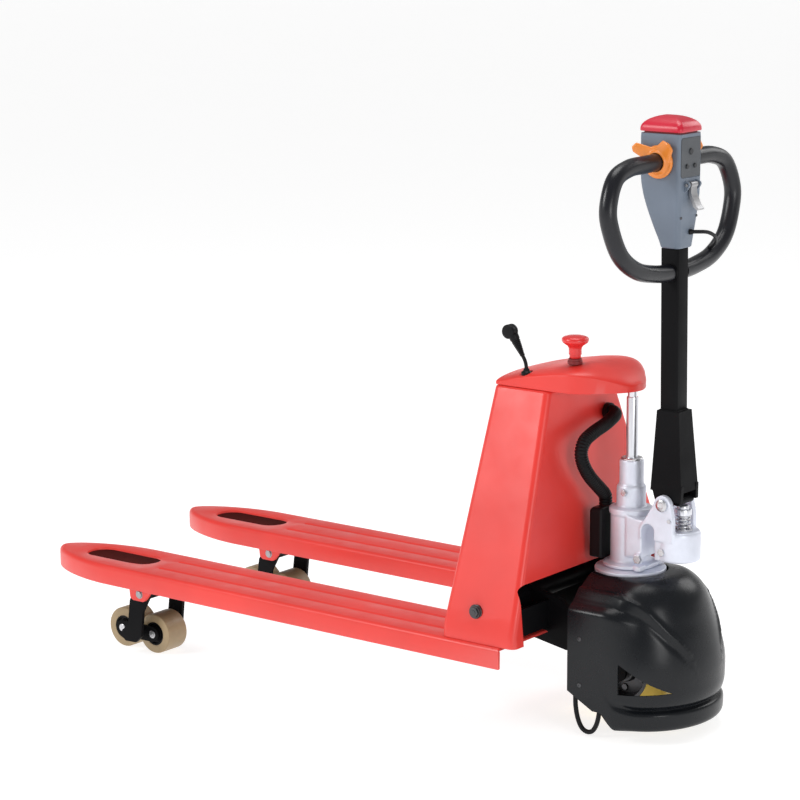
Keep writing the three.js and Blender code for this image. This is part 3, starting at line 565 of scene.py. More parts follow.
def fork(side, s):
    body = Body()
    bm = body.bm
    outline = fork_outline()
    y0 = s * FORK_Y
    radius = 9
    fillet = [
        (radius * (1 - math.cos(t)), FORK_TOP - radius * (1 - math.sin(t)))
        for t in (math.pi / 2 * i / 6 for i in range(7))
    ]
    stack = [(FORK_SHEET, FORK_TOP - FORK_SHEET), (FORK_SHEET, 146), (4, 144.3), (1.2, 144),
        (0.1, 145.5)] + fillet

    def loop(points, z):
        return [bm.verts.new(at(x, y0 + y, z)) for x, y in points]

    def fill(loops):
        edges = []
        for one in loops:
            for a, b in zip(one, one[1:] + one[:1]):
                edges.append(bm.edges.get((a, b)) or bm.edges.new((a, b)))
        bmesh.ops.triangle_fill(bm, use_beauty=True, edges=edges)

    outer = [loop(inset(outline, d), z) for d, z in stack]
    body.skin(outer, capped=False)
    slot = bar_outline(120, 0, 232, 0, 35, 18)
    rod_gap = round_box(1056, 1160, -19, 19, 4)
    grooves = [bar_outline(306, y, 1040, y, 6, 8) for y in (-30, 30)]
    tops, bottoms = [outer[-1]], [outer[0]]
    for hole, edge in ((slot, 1.4), (rod_gap, 0.6)):
        rings = [loop(inset(hole, d), z) for d, z in ((-edge, FORK_TOP),
            (-0.3 * edge, FORK_TOP - 0.3 * edge), (0, FORK_TOP - edge), (0, FORK_TOP - FORK_SHEET))]
        body.skin(rings, capped=False)
        tops.append(rings[0])
        bottoms.append(rings[-1])
    for groove in grooves:
        rings = [loop(inset(groove, d), FORK_TOP - z) for d, z in ((-1, 0), (0.6, 0.3), (2.6, 1.7),
            (4.2, 2))]
        body.skin(rings, capped=False)
        fill([rings[-1]])
        tops.append(rings[0])
    fill(tops)
    fill(bottoms)
    y_in, y_out = sorted((y0 - s * 90, y0 + s * (FORK_HALF - FORK_SHEET)))
    heel = Body().box(1104, FORK_HEEL + 10, y_in, y_out, 130, FORK_TOP - FORK_SHEET)
    channel = piece(f"{side}_fork_channel", body, red_paint(), "chassis", "red_paint", (f"{side}_fork",),
                    cutters=(heel,), angle=40)
    # The channel's inner faces, those facing down or inwards between the flank rim and the top sheet, get
    # the near-black red: painted shade for the dark inside of the fork seen through the slot.
    channel.data.materials.append(underside_primer())
    middle = at(200, y0, 0)
    rim, ceiling = 146.5 * MM, (FORK_TOP - FORK_SHEET + 0.1) * MM
    for polygon in channel.data.polygons:
        spot, normal = polygon.center, polygon.normal
        outward = Vector((min(0, spot.x - middle.x), spot.y - middle.y, 0))
        if rim < spot.z < ceiling and (normal.z < -0.7 or normal.dot(outward) < 0):
            polygon.material_index = 1
    lugs = Body()
    pin_at = (ARM_PIN_X, y0, ARM_PIN_Z)
    lug = [(250, 160), (262, 146)] + arc(276, 136, 14, 215, 262, 4)
    lug += arc(296, 136, 14, 278, 325, 4) + [(322, 146), (338, 160)]
    for low in (FORK_HALF - 11, 3 - FORK_HALF):
        lugs.prism(lug, y0 + low, y0 + low + 8)
    piece(f"{side}_fork_pin_lugs", lugs, red_paint(), "chassis", "red_paint", round_edge=1.2,
          cutters=(Body().rod(8.4, -90, 90, pin_at, "y", 32),))
    pin = Body()
    for turn in (-1, 1):
        profile = [(0, 0), (6, 0), (7, -0.8), (7, -3.4), (10.4, -3.4), (10.4, -4.6), (9.4, -5.6), (0, -5.6)]
        pin.turned(facing(turn, profile, FORK_HALF + 0.2), pin_at, "y", 32)
    pin.rod(8, -74, 74, pin_at, "y", 32)
    piece(f"{side}_arm_pin_turned", pin, raw_steel(), "chassis", "steel", (f"{side}_arm_pin",),
        round_edge=0.4)


# ---- battery box and cap

BOX_FRONT = 1050
BOX_TOP = 631.7


def box_share(z):
    return (z - 205) / (BOX_TOP - 205)


def box_half(z):
    return 275 - 165 * max(0, box_share(z))


def box_back(z):
    return BOX_FRONT + 163 * (1 - 0.24 * box_share(z))


def battery_box():
    def level(z, d, r):
        half = box_half(z) - d
        return level_ring(z, BOX_FRONT + d, box_back(z) - d, -half, half, r, 8)

    heights = [205 + (627 - 205) * i / 12 for i in range(13)]
    outer = [level(z, 0, 13) for z in (184.4, *heights)]
    outer += [level(629.6, 0.9, 12.5), level(631, 2.4, 12), level(BOX_TOP, 4.4, 11)]
    inner = [level(z, 4, 9) for z in (170, *heights)]
    door = Body().prism(round_box(-243, 243, 150, 296, 16, 6), 1172, 1300, "yz")
    bore = Body().rod(12.4, -300, 300, HEEL_SHAFT, "y", 32)
    piece("battery_box_shell", Body().loft(outer), red_paint(), "chassis", "red_paint", ("battery_box",),
          cutters=(Body().loft(inner), door, bore), round_edge=0.8, angle=40)
    heel = Body().rod(12, -268, 268, HEEL_SHAFT, "y", 32)
    for s in (-1, 1):
        face = s * box_half(239)
        washer = [(0, 0.2), (13, 0.2), (14, 1), (14, 2.2), (13, 3), (0, 3)]
        heel.turned([(r, face + s * a) for r, a in washer], HEEL_SHAFT, "y", 36)
        heel.hexagon(HEEL_SHAFT, "y", 17, *sorted((face + s * 3.2, face + s * 9)))
        heel.turned([(0, face), (4.6, face), (4.6, s * 271), (3.8, s * 272), (0, s * 272)], HEEL_SHAFT, "y",
            24)
    piece("heel_shaft_and_nuts", heel, black_steel(), "chassis", "steel", ("heel_shaft",), round_edge=0.5)


CAP_NOSE = 1304
CAP_SHOULDER = 1225
CAP_CREST = ((1050, 649), (1090, 661), (1128, 669), (1180, 678), (1216, 681.4), (1240, 679), (1262, 671),
    (1280, 661), (1296, 650), (1304, 643))


def cap_half(x, half):
    """Half the cap's breadth at x: straight sides that close round a soft shoulder in a slim nose."""
    def sharp(place):
        share = min(1, max(0, place - CAP_SHOULDER) / (CAP_NOSE - CAP_SHOULDER))
        return half * math.sqrt(1 - share ** 0.95)

    reach = max(0, min(24, CAP_NOSE - 0.5 - x))
    return min(sum(sharp(x + reach * k / 4) for k in range(-4, 5)) / 9,
        sharp(x) if x > CAP_SHOULDER else half)


def top_cap():
    low = BOX_TOP + 0.3
    stations = [1052, 1052.6, 1054, 1057, 1062] + [1069 + 7 * i for i in range(22)]
    stations += [1222, 1225, 1228, 1232, 1237, 1242, 1248, 1254, 1260, 1266, 1272, 1278, 1283, 1288, 1292,
        1296, 1299, 1301.4, 1303, 1303.8]
    rings = []
    for x in stations:
        start = max(0, 1 - (x - 1052) / 6)
        wide = max(cap_half(x, 107.6), 2) - 2.2 * start ** 2
        top = averaged(CAP_CREST, x, 10) - 1.6 * start ** 2
        narrow = wide / 107.6
        edge = max(top - 15 * narrow ** 0.8 - 1, low + 5)
        ring = [(x, -wide + 2.4, low), (x, -wide + 0.7, low + 0.7), (x, -wide, low + 2.4)]
        for i in range(27):
            across = -math.cos(math.pi * i / 26)
            sweep = math.copysign(abs(across) ** 0.8, across)
            rise = max(0, 1 - abs(sweep) ** 2.6) ** 0.55
            ring.append((x, wide * sweep, edge + (top - edge) * rise))
        ring += [(x, wide, low + 2.4), (x, wide - 0.7, low + 0.7), (x, wide - 2.4, low)]
        rings.append(ring)
    hollow = Body().prism(round_box(1064, 1212, -92, 92, 8), low - 20, 640, "xy")
    gland_seat = Body().rod(12, 0, 60, (1112, LEAD_Y, 654), "z", 32)
    stop_seat = Body().rod(14.4, 0, 60, (1197, -57, 679), "z", 40)
    piece("top_cap_moulding", Body().loft(rings), red_paint(), "chassis", "red_paint", ("top_cap",),
          cutters=(hollow, gland_seat, stop_seat), round_edge=0.8, angle=50)


def stop_button():
    seat = (1197, -57, 683)
    collar = [(0, -3.7), (13.4, -3.7), (14, -3), (14, 2.2), (13.4, 3), (12.6, 3), (12.6, 6.4), (12, 7),
        (11, 7), (11, 0), (0, 0)]
    piece("stop_collar_ring", Body().turned(collar, seat, "z", 48), dark_red(), "chassis", "crimson_plastic",
         ("stop_collar",))
    head = [(0, 7.4), (10.2, 7.4), (10.6, 7.8), (10.6, 13.8), (12, 14.4), (12, 24), (12.6, 27.6), (15, 31),
        (20, 34.4), (23.4, 37), (25, 39.6), (25.4, 42), (24.8, 44.8), (22.4, 47), (17, 48.8), (9, 50.2),
        (0, 50.6)]
    piece("stop_mushroom", Body().turned(head, seat, "z", 64), signal_red(), "stop_button",
        "crimson_plastic", ("stop_button",), angle=60)


# ---- cords

LEAD_TILT = math.radians(31)


def charger_lead():
    knee = at(1104, LEAD_Y, 689)
    way = Vector((-math.sin(LEAD_TILT), 0, math.cos(LEAD_TILT)))
    route = smooth_line([at(1112, LEAD_Y, 659), at(1111.6, LEAD_Y, 670), at(1109, LEAD_Y, 680), knee,
        knee + way * 20 * MM], 16)
    lead = cord_curve("charger_lead_cable", route, 3.5)
    profile = [(0, 0), (10, 0), (10, 0.8), (9.4, 1.2), (9.4, 4.4), (10, 5), (8.6, 6.4), (6.2, 8.2),
        (5.2, 12), (0, 12)]
    gland = Body().turned(profile, (1112, LEAD_Y, 654.3), "z", 40)
    piece("charger_gland_boot", gland, black_plastic(), "chassis", "black_plastic", ("charger_gland",))
    boot = Body()
    ribs = [(0, 0), (4, 0), (4.4, 0.6)]
    for i in range(9):
        r = 4.6 + 0.48 * i
        ribs += [(r, 1.4 + 3.4 * i), (r, 3.6 + 3.4 * i), (r - 0.8, 4 + 3.4 * i), (r - 0.7, 4.6 + 3.4 * i)]
    ribs += [(9.2, 34), (9.6, 42), (0, 42)]
    boot.turned(ribs, (0, 0, 0), "z", 32)
    rim = both_ways([(0, -9), (11, -9), (12.6, -8.4), (13.5, -7), (13.5, -3.2), (12.9, -2.8)])
    boot.turned(rim, (-3, 0, 52), "y", 44)
    for z in (-5, 5):
        boot.turned([(0, -8), (2, -8), (2, -12), (1.2, -13), (0, -13)], (-3, 0, 52 + z), "x", 16)
    turn = Matrix.Rotation(-LEAD_TILT, 4, "Y")
    origin = at(0, 0, 0)
    place = knee + way * 0.6 * MM
    for v in boot.bm.verts:
        v.co = place + turn @ (v.co - origin)
    plug = piece("charger_plug_moulding", boot, black_plastic(), "chassis", "black_plastic",
        ("charger_plug",))
    fitted(lead, "chassis", ("charger_lead",))


def cord_curve(name, points, radius):
    data = bpy.data.curves.new(name, "CURVE")
    data.dimensions = "3D"
    data.bevel_depth = radius * MM
    data.bevel_resolution = 6
    data.use_fill_caps = True
    spline = data.splines.new("POLY")
    spline.points.add(len(points) - 1)
    for spot, p in zip(spline.points, points):
        spot.co = (*p, 1)
    data.materials.append(cable_rubber())
    return link(name, data)


def loop_cable():
    route = [
        (1259, -139, 84), (1259, -139, 70), (1260, -139, 52), (1265, -139, 30), (1274, -139, 14),
        (1286, -139, 8.5), (1298, -139, 13), (1307, -139, 29), (1312, -139, 52), (1313, -139, 70),
        (1313, -139, 84),
    ]
    points = smooth_line([at(*p) for p in route], 40)
    cable = fitted(cord_curve("drive_cable_loop", points, 4.5), "base", ("loop_cable",))


def head_cable():
    route = [
        (1399, 5, 934), (1403, 9, 934), (1411, 16, 934), (1417, 40, 931), (1413, 72, 920), (1398, 100, 905),
        (1378, 116, 892), (1373, 119, 886),
    ]
    points = smooth_line([at(*p) for p in route], 40)
    body = Body()
    place_tube(body, points, 3.5, 16)
    for near, far in ((points[0], points[2]), (points[-1], points[-3])):
        way = (far - near).normalized()
        place_tube(body, [near + way * k * MM for k in (0.5, 1, 5, 6)], 5, 20)
    piece("head_cable_run", body, cable_rubber(), "tiller", "cable_rubber", ("head_cable",))


def place_tube(body, points, radius, sides):
    """A tube along points that are already in the frame's metres."""
    side_way = None
    rings = []
    size = radius if callable(radius) else (lambda share: radius)
    for i, point in enumerate(points):
        ahead = (points[min(i + 1, len(points) - 1)] - points[max(i - 1, 0)]).normalized()
        if side_way is None:
            side_way = ahead.orthogonal().normalized()
        side_way = (side_way - ahead * side_way.dot(ahead)).normalized()
        other = ahead.cross(side_way)
        r = size(i / (len(points) - 1)) * MM
        turns = [2 * math.pi * k / sides for k in range(sides)]
        rings.append([body.bm.verts.new(point + (side_way * math.cos(t) + other * math.sin(t)) * r)
            for t in turns])
    body.skin(rings)


def harness_conduit():
    route = [
        (1183.6, 73, 568), (1197, 72, 568), (1212, 56, 566), (1216, 20, 556), (1217, -22, 547),
        (1218, -54, 536), (1219, -67, 516), (1221, -62, 492), (1224, -44, 466), (1228, -18, 441),
        (1230, -2, 425), (1230, 0, 409),
    ]
    points = smooth_line([at(*p) for p in route], 420)
    ribs = 62
    body = Body()
    place_tube(body, points, lambda share: 12.2 + 0.8 * math.cos(2 * math.pi * ribs * share), 24)
    conduit = made_object("conduit_corrugated", body, black_plastic(), angle=60)
    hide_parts("harness_conduit")
    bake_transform(conduit)
    clip = Body().ring([(13.4, -5), (16, -5), (16, 5), (13.4, 5)], (1187.5, 73, 568), "x", 32)
    piece("conduit_clip", clip, black_plastic(), "chassis", "black_plastic", round_edge=0.5)


# ---- rollers and lift linkage


def rollers(side, s):
    y = s * FORK_Y
    for place, x in ROLLER_X.items():
        body_name = f"{side}_{place}_roller"
        tread = both_ways([(24.4, -27.6), (38.5, -27.6), (40.3, -26.6), (41, -24.6)])
        tyre = Body().ring(tread, (x, y, ROLLER_RADIUS), "y", 72)
        piece(f"{side}_{place}_tread", tyre, roller_amber(), body_name, "amber_polyurethane",
            (f"{body_name}_tyre",), round_edge=0.4, angle=50)
        web = both_ways([(8.4, -25), (11, -25), (12, -26.4), (16.5, -26.4), (17.5, -22), (20.5, -22),
                         (21.5, -26.8), (24, -26.8)])
        hub = Body().ring(web, (x, y, ROLLER_RADIUS), "y", 64)
        piece(f"{side}_{place}_hub", hub, black_plastic(), body_name, "black_plastic", (f"{body_name}_hub",),
             round_edge=0.3, angle=40)
    ends = Body()
    for x in ROLLER_X.values():
        for way in (-1, 1):
            head = [(0, 33), (7.4, 33), (8, 33.6), (8, 34.4), (7.2, 35), (0, 35)]
            ends.turned(facing(way, head), (x, y, ROLLER_RADIUS), "y", 32)
            rivet = [(0, 34.8), (2.6, 34.8), (1.6, 35.3), (0, 35.3)]
            ends.turned(facing(way, rivet), (x, y, ROLLER_RADIUS), "y", 16)
    piece(f"{side}_axle_ends", ends, bright_steel(), f"{side}_tandem", "steel")
    refined(f"{side}_bogie", black_paint(), "black_paint")
    refined(f"{side}_roller_arm", black_paint(), "black_paint", 1.0)
    refined(f"{side}_push_rod", raw_steel(), "steel", 0.6)


# ---- drive unit


def spread(points, count):
    """A smooth outline through (a, b) points as count evenly spaced ones."""
    line = smooth_line([(a, b, 0) for a, b in points], count)
    return [(p.x, p.y) for p in line]


RIDGE = ((-90, 271), (0, 270.6), (7.7, 266), (23, 256), (33.5, 244), (43, 227), (50, 212), (58, 197),
    (63, 183), (68, 167), (72, 137), (80, 90))
COVER_FRONT = 1247
DOME_X = 1340
DOME_LIP = 80
COVER_HALF = 149.8
COVER_DEEP = 128


def between(table, x):
    for (a, c), (b, d) in zip(table, table[1:]):
        if x <= b:
            return c + (d - c) * max(0, x - a) / (b - a)
    return table[-1][1]


def ridge_lift(t, z):
    """How far the arched ridge stands out at an angle around the dome and a height."""
    drop = between(RIDGE, t) - z
    step = ((-10, 0), (-3, 1.2), (0, 4.2), (3, 3.8), (17, -1), (20, -2.8), (24, -1.8), (34, 0))
    if drop <= -10 or drop >= 34:
        return 0
    return between(step, drop) * max(0, min(1, (74 - t) / 12))


def cover_sheet():
    """The cover's outer surface, from its foot to the crown, as columns of points around the plan."""
    count = 124
    dome = spread([(14, 25), (8, 27), (4, 32), (2.6, 40), (2.6, 54), (4, 59), (8, 62), (12, 64), (11, 68),
        (5, 75), (1, 90), (0.2, 108), (0.2, 130), (3.6, 154), (12, 186), (21, 214), (29, 238), (38, 258),
        (49, 273), (62, 284.5), (72, 290.5), (80, 293)], count)

    def flank(low):
        upper = [(0.2, low + (222 - low) * k / 6) for k in range(7)]
        upper += [(0.2, 231), (1.2, 238), (4, 243), (9, 247.4), (20, 254.6), (32, 263.4), (41, 270),
                  (51, 277), (62, 284.5), (72, 290.5), (80, 293)]
        return spread(upper, count)

    flat_run = DOME_X - COVER_FRONT
    stations = [("flank", COVER_FRONT + flat_run * i / 20) for i in range(20)]
    stations += [("dome", 180 * i / 90) for i in range(91)]
    stations += [("far", DOME_X - flat_run * (i + 1) / 20) for i in range(20)]
    columns = []
    for kind, value in stations:
        near = min(value, 180 - value) if kind == "dome" else (value - DOME_X) * 0.45
        along = value if kind != "dome" else DOME_X
        low = 84 - 30 * min(1, max(0, (along - COVER_FRONT) / 56)) - 29 * max(0, min(1, (near + 9) / 12))
        share = max(0, min(1, (near + 10) / 36))
        share = share * share * (3 - 2 * share)
        column = []
        for (d0, z0), (d1, z1) in zip(flank(low), dome):
            out = ridge_lift(near, z0 + (z1 - z0) * share)
            z = z0 + (z1 - z0) * share + out * (0.55 if z1 > 240 else 0.1)
            d = max(0, d0 + (d1 - d0) * share - out * (1 if z1 < 262 else 0.6))
            column.append((d, z))
        column += [(COVER_HALF - 45, 294), (COVER_HALF - 22, 294), (COVER_HALF, 294)]
        if kind == "dome":
            turn = math.radians(value)
            deep = [max(0, COVER_DEEP - d * COVER_DEEP / COVER_HALF if d > DOME_LIP else COVER_DEEP - d)
                for d, _ in column]
            columns.append([(DOME_X + r * math.sin(turn), (d - COVER_HALF) * math.cos(turn), z)
                for r, (d, z) in zip(deep, column)])
        else:
            way = -1 if kind == "flank" else 1
            columns.append([(value, way * (COVER_HALF - d), z) for d, z in column])
    return columns


def drive_cover():
    body = Body()
    columns = [[body.bm.verts.new(at(*p)) for p in column] for column in cover_sheet()]
    for left, right in zip(columns, columns[1:]):
        for i in range(len(left) - 1):
            body.bm.faces.new((left[i], right[i], right[i + 1], left[i + 1]))
    bmesh.ops.remove_doubles(body.bm, verts=body.bm.verts, dist=5e-5)
    bmesh.ops.recalc_face_normals(body.bm, faces=body.bm.faces)
    top = max(body.bm.faces, key=lambda f: f.calc_center_median().z)
    if top.normal.z < 0:
        bmesh.ops.reverse_faces(body.bm, faces=body.bm.faces)
    body.bm.normal_update()
    skin = list(body.bm.faces)
    rims = [e.link_loops[0] for e in body.bm.edges if e.is_boundary]
    rims = [(loop.vert, loop.link_loop_next.vert) for loop in rims]
    inside = {v: body.bm.verts.new(v.co - v.normal * 3.2 * MM) for v in list(body.bm.verts)}
    for f in skin:
        body.bm.faces.new([inside[v] for v in reversed(f.verts)])
    for a, b in rims:
        body.bm.faces.new((b, a, inside[a], inside[b]))
    mouth = Body().rod(71.4, 0, 60, (1287, 0, 262), "z", 96)
    window = Body().prism([(1357, 95), (1441, 99), (1357, 153)], -200, -60)
    piece("drive_cover_moulding", body, cover_plastic(), "base", "black_plastic", ("drive_cover",),
          cutters=(mouth, window), angle=50)
    screws = Body()
    for x, z in ((1273, 187), (1274, 99)):
        for s in (-1, 1):
            head = [(0, 149.2), (4.4, 149.2), (4.4, 150), (3.6, 150.8), (1.8, 151), (1.6, 150.2),
                (0, 150.2)]
            screws.turned(facing(s, head), (x, 0, z), "y", 24)
    piece("cover_screws", screws, black_steel(), "base", "steel")


def turntable():
    low, high = 242.3, 299.5
    profile = [(30.8, low), (68, low), (68, low + 4), (66, 254), (61, 272), (57, 286), (60, 288), (66, 289),
        (67, 290.5), (67, 296), (65.6, 297.6), (56, 298.4), (54, high), (30.8, high)]
    ring = Body().ring(profile, STEER_AXIS, "z", 96)
    piece("turntable_casting", ring, silver_casting(), "base", "steel", ("turntable_ring",), round_edge=0.8,
        angle=40)


def drive_wheel():
    tread = both_ways([(64.4, -37), (97, -37), (101.5, -35), (104, -31.5), (105, -27)])
    piece("drive_tread", Body().ring(tread, WHEEL_CENTRE, "y", 96), wheel_amber(), "drive_wheel",
        "amber_polyurethane", ("drive_tyre",), round_edge=0.5, angle=50)
    web = both_ways([(15.4, -30), (26, -30), (28, -28), (30, -14), (52, -10), (56, -33), (58, -36),
        (64, -36)])
    hub = Body().ring(web, WHEEL_CENTRE, "y", 80)
    for k in range(6):
        t = 2 * math.pi * k / 6
        spot = (1287 + 41 * math.sin(t), 0, 105 + 41 * math.cos(t))
        hub.hexagon(spot, "y", 12, -16, -11)
    # The hub is blackened steel, made this dark also as painted shade for the inside of the cover seen
    # through its window.
    piece("drive_hub_casting", hub, black_steel(), "drive_wheel", "steel", ("drive_hub",), round_edge=0.6,
        angle=40)


# ---- hydraulic pump


def pump():
    barrel = [(0, 300.4), (50, 300.4), (52, 302), (52, 306.5), (50, 308), (40, 310), (38, 313), (38, 398),
        (40.5, 400), (41, 402), (41, 410), (39, 412), (29, 413), (27.6, 415), (27.4, 449), (26.4, 452),
        (23.2, 455), (22.8, 458), (22.6, 499), (21.4, 502), (0, 502)]
    cast = Body().turned(barrel, STEER_AXIS, "z", 72)
    web = [(1300, 325), (1300, 404), (1322, 399), (1358, 398), (1362, 386), (1390, 384), (1390, 328)]
    cast.prism(web, -40, 40)
    nose = [(0, 326), (38, 326), (41, 328), (42, 331), (42, 376), (40.6, 380.4), (37.6, 383), (0, 383)]
    cast.turned(nose, (1390, 0, 0), "z", 72)
    ear = [(1332, 384), (1340, 398), (1358, 428)] + arc(1380, 434, 18, 165, 5, 14)
    ear += [(1403, 412), (1404, 384), (1404, 366), (1332, 366)]
    cast.prism(ear, 31, 42)
    cast.prism(ear, -42, -31)
    for x, y in ((1329, -34), (1329, 34)):
        cast.turned([(0, 301), (11.5, 301), (12, 302), (12, 309), (10.6, 311), (0, 311)], (x, y, 0), "z",
            32)
    for y0, y1 in ((-46, -34), (34, 46)):
        cast.turned([(0, y0), (9, y0), (10, y0 + 1.5), (10, y1 - 1.5), (9, y1), (0, y1)], (1333, 0, 326),
            "y", 32)
    arch = [(1336, 290)] + arc(1350, 380, 14, 180, 0, 14) + [(1364, 290)]
    cutters = [
        Body().prism(arch, -60, 60),
        Body().rod(11.6, 320, 520, STEER_AXIS, "z", 48),
        Body().rod(8.4, 335, 400, PLUNGER_AXIS, "z", 40),
        Body().rod(8.4, -60, 60, TILLER_PIN, "y", 40),
        Body().box(1364.5, 1440, -30.8, 30.8, 384.4, 470),
        Body().box(1250, 1470, -60, 60, 280, 300.3),
        Body().box(1364.5, 1470, -60, 60, 290, 326),
    ]
    piece("pump_casting", cast, silver_casting(), "steer", "silver_casting", ("pump_body",), cutters=cutters,
         voxel=1.5, smooth=3)
    trim = Body()
    trim.ring([(11.6, 501.4), (20.5, 501.4), (20.5, 504), (18.5, 505.4), (11.6, 505.4)], STEER_AXIS, "z",
        56)
    for spot, axis, across, low, high in (
        ((1290, 0, 442), "y", 11, -33, -26.5),
        ((1333, 0, 326), "y", 15, -52, -45.6),
        ((1333, 0, 326), "y", 15, 45.6, 52),
        ((1396, 0, 406), "y", 7, -44.5, -41.6),
        ((1380, 0, 345), "y", 13, -45, -41.6),
    ):
        trim.hexagon(spot, axis, across, low, high)
    trim.ring([(8.6, 383), (18.4, 383), (18.4, 386), (8.6, 386)], PLUNGER_AXIS, "z", 40)
    piece("pump_fittings", trim, bright_steel(), "steer", "steel", round_edge=0.4, angle=30)
    rod = [(0, 430), (11, 430), (11, 618), (10.6, 619.4), (9, 620), (9, 631.4), (0, 631.4)]
    piece("lift_piston_rod", Body().turned(rod, STEER_AXIS, "z", 64), chrome(), "chassis", "chrome_rod",
          ("piston_rod",), angle=40)
    stem = [(0, 362), (8, 362), (8, 411), (8.6, 412), (15.4, 412), (16, 412.6), (16, 421.4), (15, 423.2),
        (11.2, 424), (11, 428), (9.6, 429.6), (6, 430), (0, 430)]
    piece("plunger_turned", Body().turned(stem, PLUNGER_AXIS, "z", 48), chrome(), "plunger", "chrome_rod",
          ("pump_plunger",), angle=40)
    turns, low, high, count = 4.2, 387.6, 410, 150
    helix = []
    for i in range(count):
        share = i / (count - 1)
        eased = min(1, max(0, (share - 0.12) / 0.76))
        angle = 2 * math.pi * turns * share
        helix.append(at(1400 + 12.6 * math.cos(angle), 12.6 * math.sin(angle), low + (high - low) * eased))
    coil = Body()
    place_tube(coil, helix, 1.7, 12)
    spring = piece("spring_coil", coil, bright_steel(), "steer", "steel", ("plunger_spring",))
    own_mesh(spring)
    pin = Body().rod(8, -44, 44, TILLER_PIN, "y", 40)
    for way in (-1, 1):
        head = [(0, 42.4), (11, 42.4), (11.6, 43), (11.6, 45.4), (10.4, 46.6), (6, 47), (5, 46), (0, 46)]
        pin.turned(facing(way, head), TILLER_PIN, "y", 40)
    piece("tiller_pin_turned", pin, bright_steel(), "steer", "steel", ("tiller_pin",), angle=40)


# ---- tiller and head


def tiller():
    refined("tiller_bracket", black_paint(), "black_paint", 2.0)
    tube = Body()
    rings = []
    for z, edge in ((540.4, 0.4), (541, 0), (903.4, 0), (904.6, 0.5)):
        middle = 1377 - 4 * (z - 540) / 365
        half = 18.4 - edge
        rings.append(level_ring(z, middle - half, middle + half, -half, half, 3.4, 6))
    tube.loft(rings)
    tube.turned([(12, 900), (12, 958), (10, 960), (0, 960)], (1376, 0, 0), "z", 32)
    piece("tiller_tube_section", tube, black_paint(), "tiller", "black_paint", ("tiller_tube",), angle=40)
    weld = Body()
    corners = [(1357.6, -18.6), (1394.8, -18.6), (1394.8, 18.6), (1357.6, 18.6)]
    line = []
    for (a, b), (c, d) in zip(corners, corners[1:] + corners[:1]):
        line += [at(a + (c - a) * k / 12, b + (d - b) * k / 12, 606.2) for k in range(12)]
    line.append(line[0])
    place_tube(weld, line, lambda share: 1.6 + 0.35 * math.sin(share * 160), 8)
    piece("tiller_weld", weld, black_paint(), "tiller", "black_paint", angle=80)
    half_loop = [
        (38.3, 1062), (90, 1061), (140, 1059), (185, 1043), (209, 999), (206, 961), (178, 909), (128, 877),
        (70, 864), (22, 860),
    ]

    def lean(z):
        return 1362 + 12 * (1061 - z) / 201

    near = [at(lean(z), -y, z) for y, z in half_loop]
    far = [at(lean(z), y, z) for y, z in reversed(half_loop)]
    route = smooth_line([*near, at(1374, 0, 860), *far], 160)
    grip = Body()
    place_tube(grip, route, 16, 32)
    piece("handle_loop_coated", grip, handle_rubber(), "tiller", "black_plastic", ("handle_loop",),
        angle=60)
    collars = Body()
    for s in (-1, 1):
        low, high = sorted((s * 18.6, s * 22))
        collars.ring([(15.9, low), (18, low), (17, high), (15.9, high)], (1374, 0, 860), "y", 40)
    piece("handle_collars", collars, black_paint(), "tiller", "black_paint", round_edge=0.6)


HEAD_BACK = ((905, 1396), (950, 1400), (1000, 1404), (1200, 1404))
HEAD_FRONT = ((905, 1357), (930, 1347), (955, 1338), (985, 1328), (1010, 1321.5), (1035, 1318.4),
    (1200, 1318))
HEAD_SIDE = ((905, 24), (930, 28), (960, 32.6), (985, 35.6), (1010, 37.4), (1035, 38), (1200, 38))


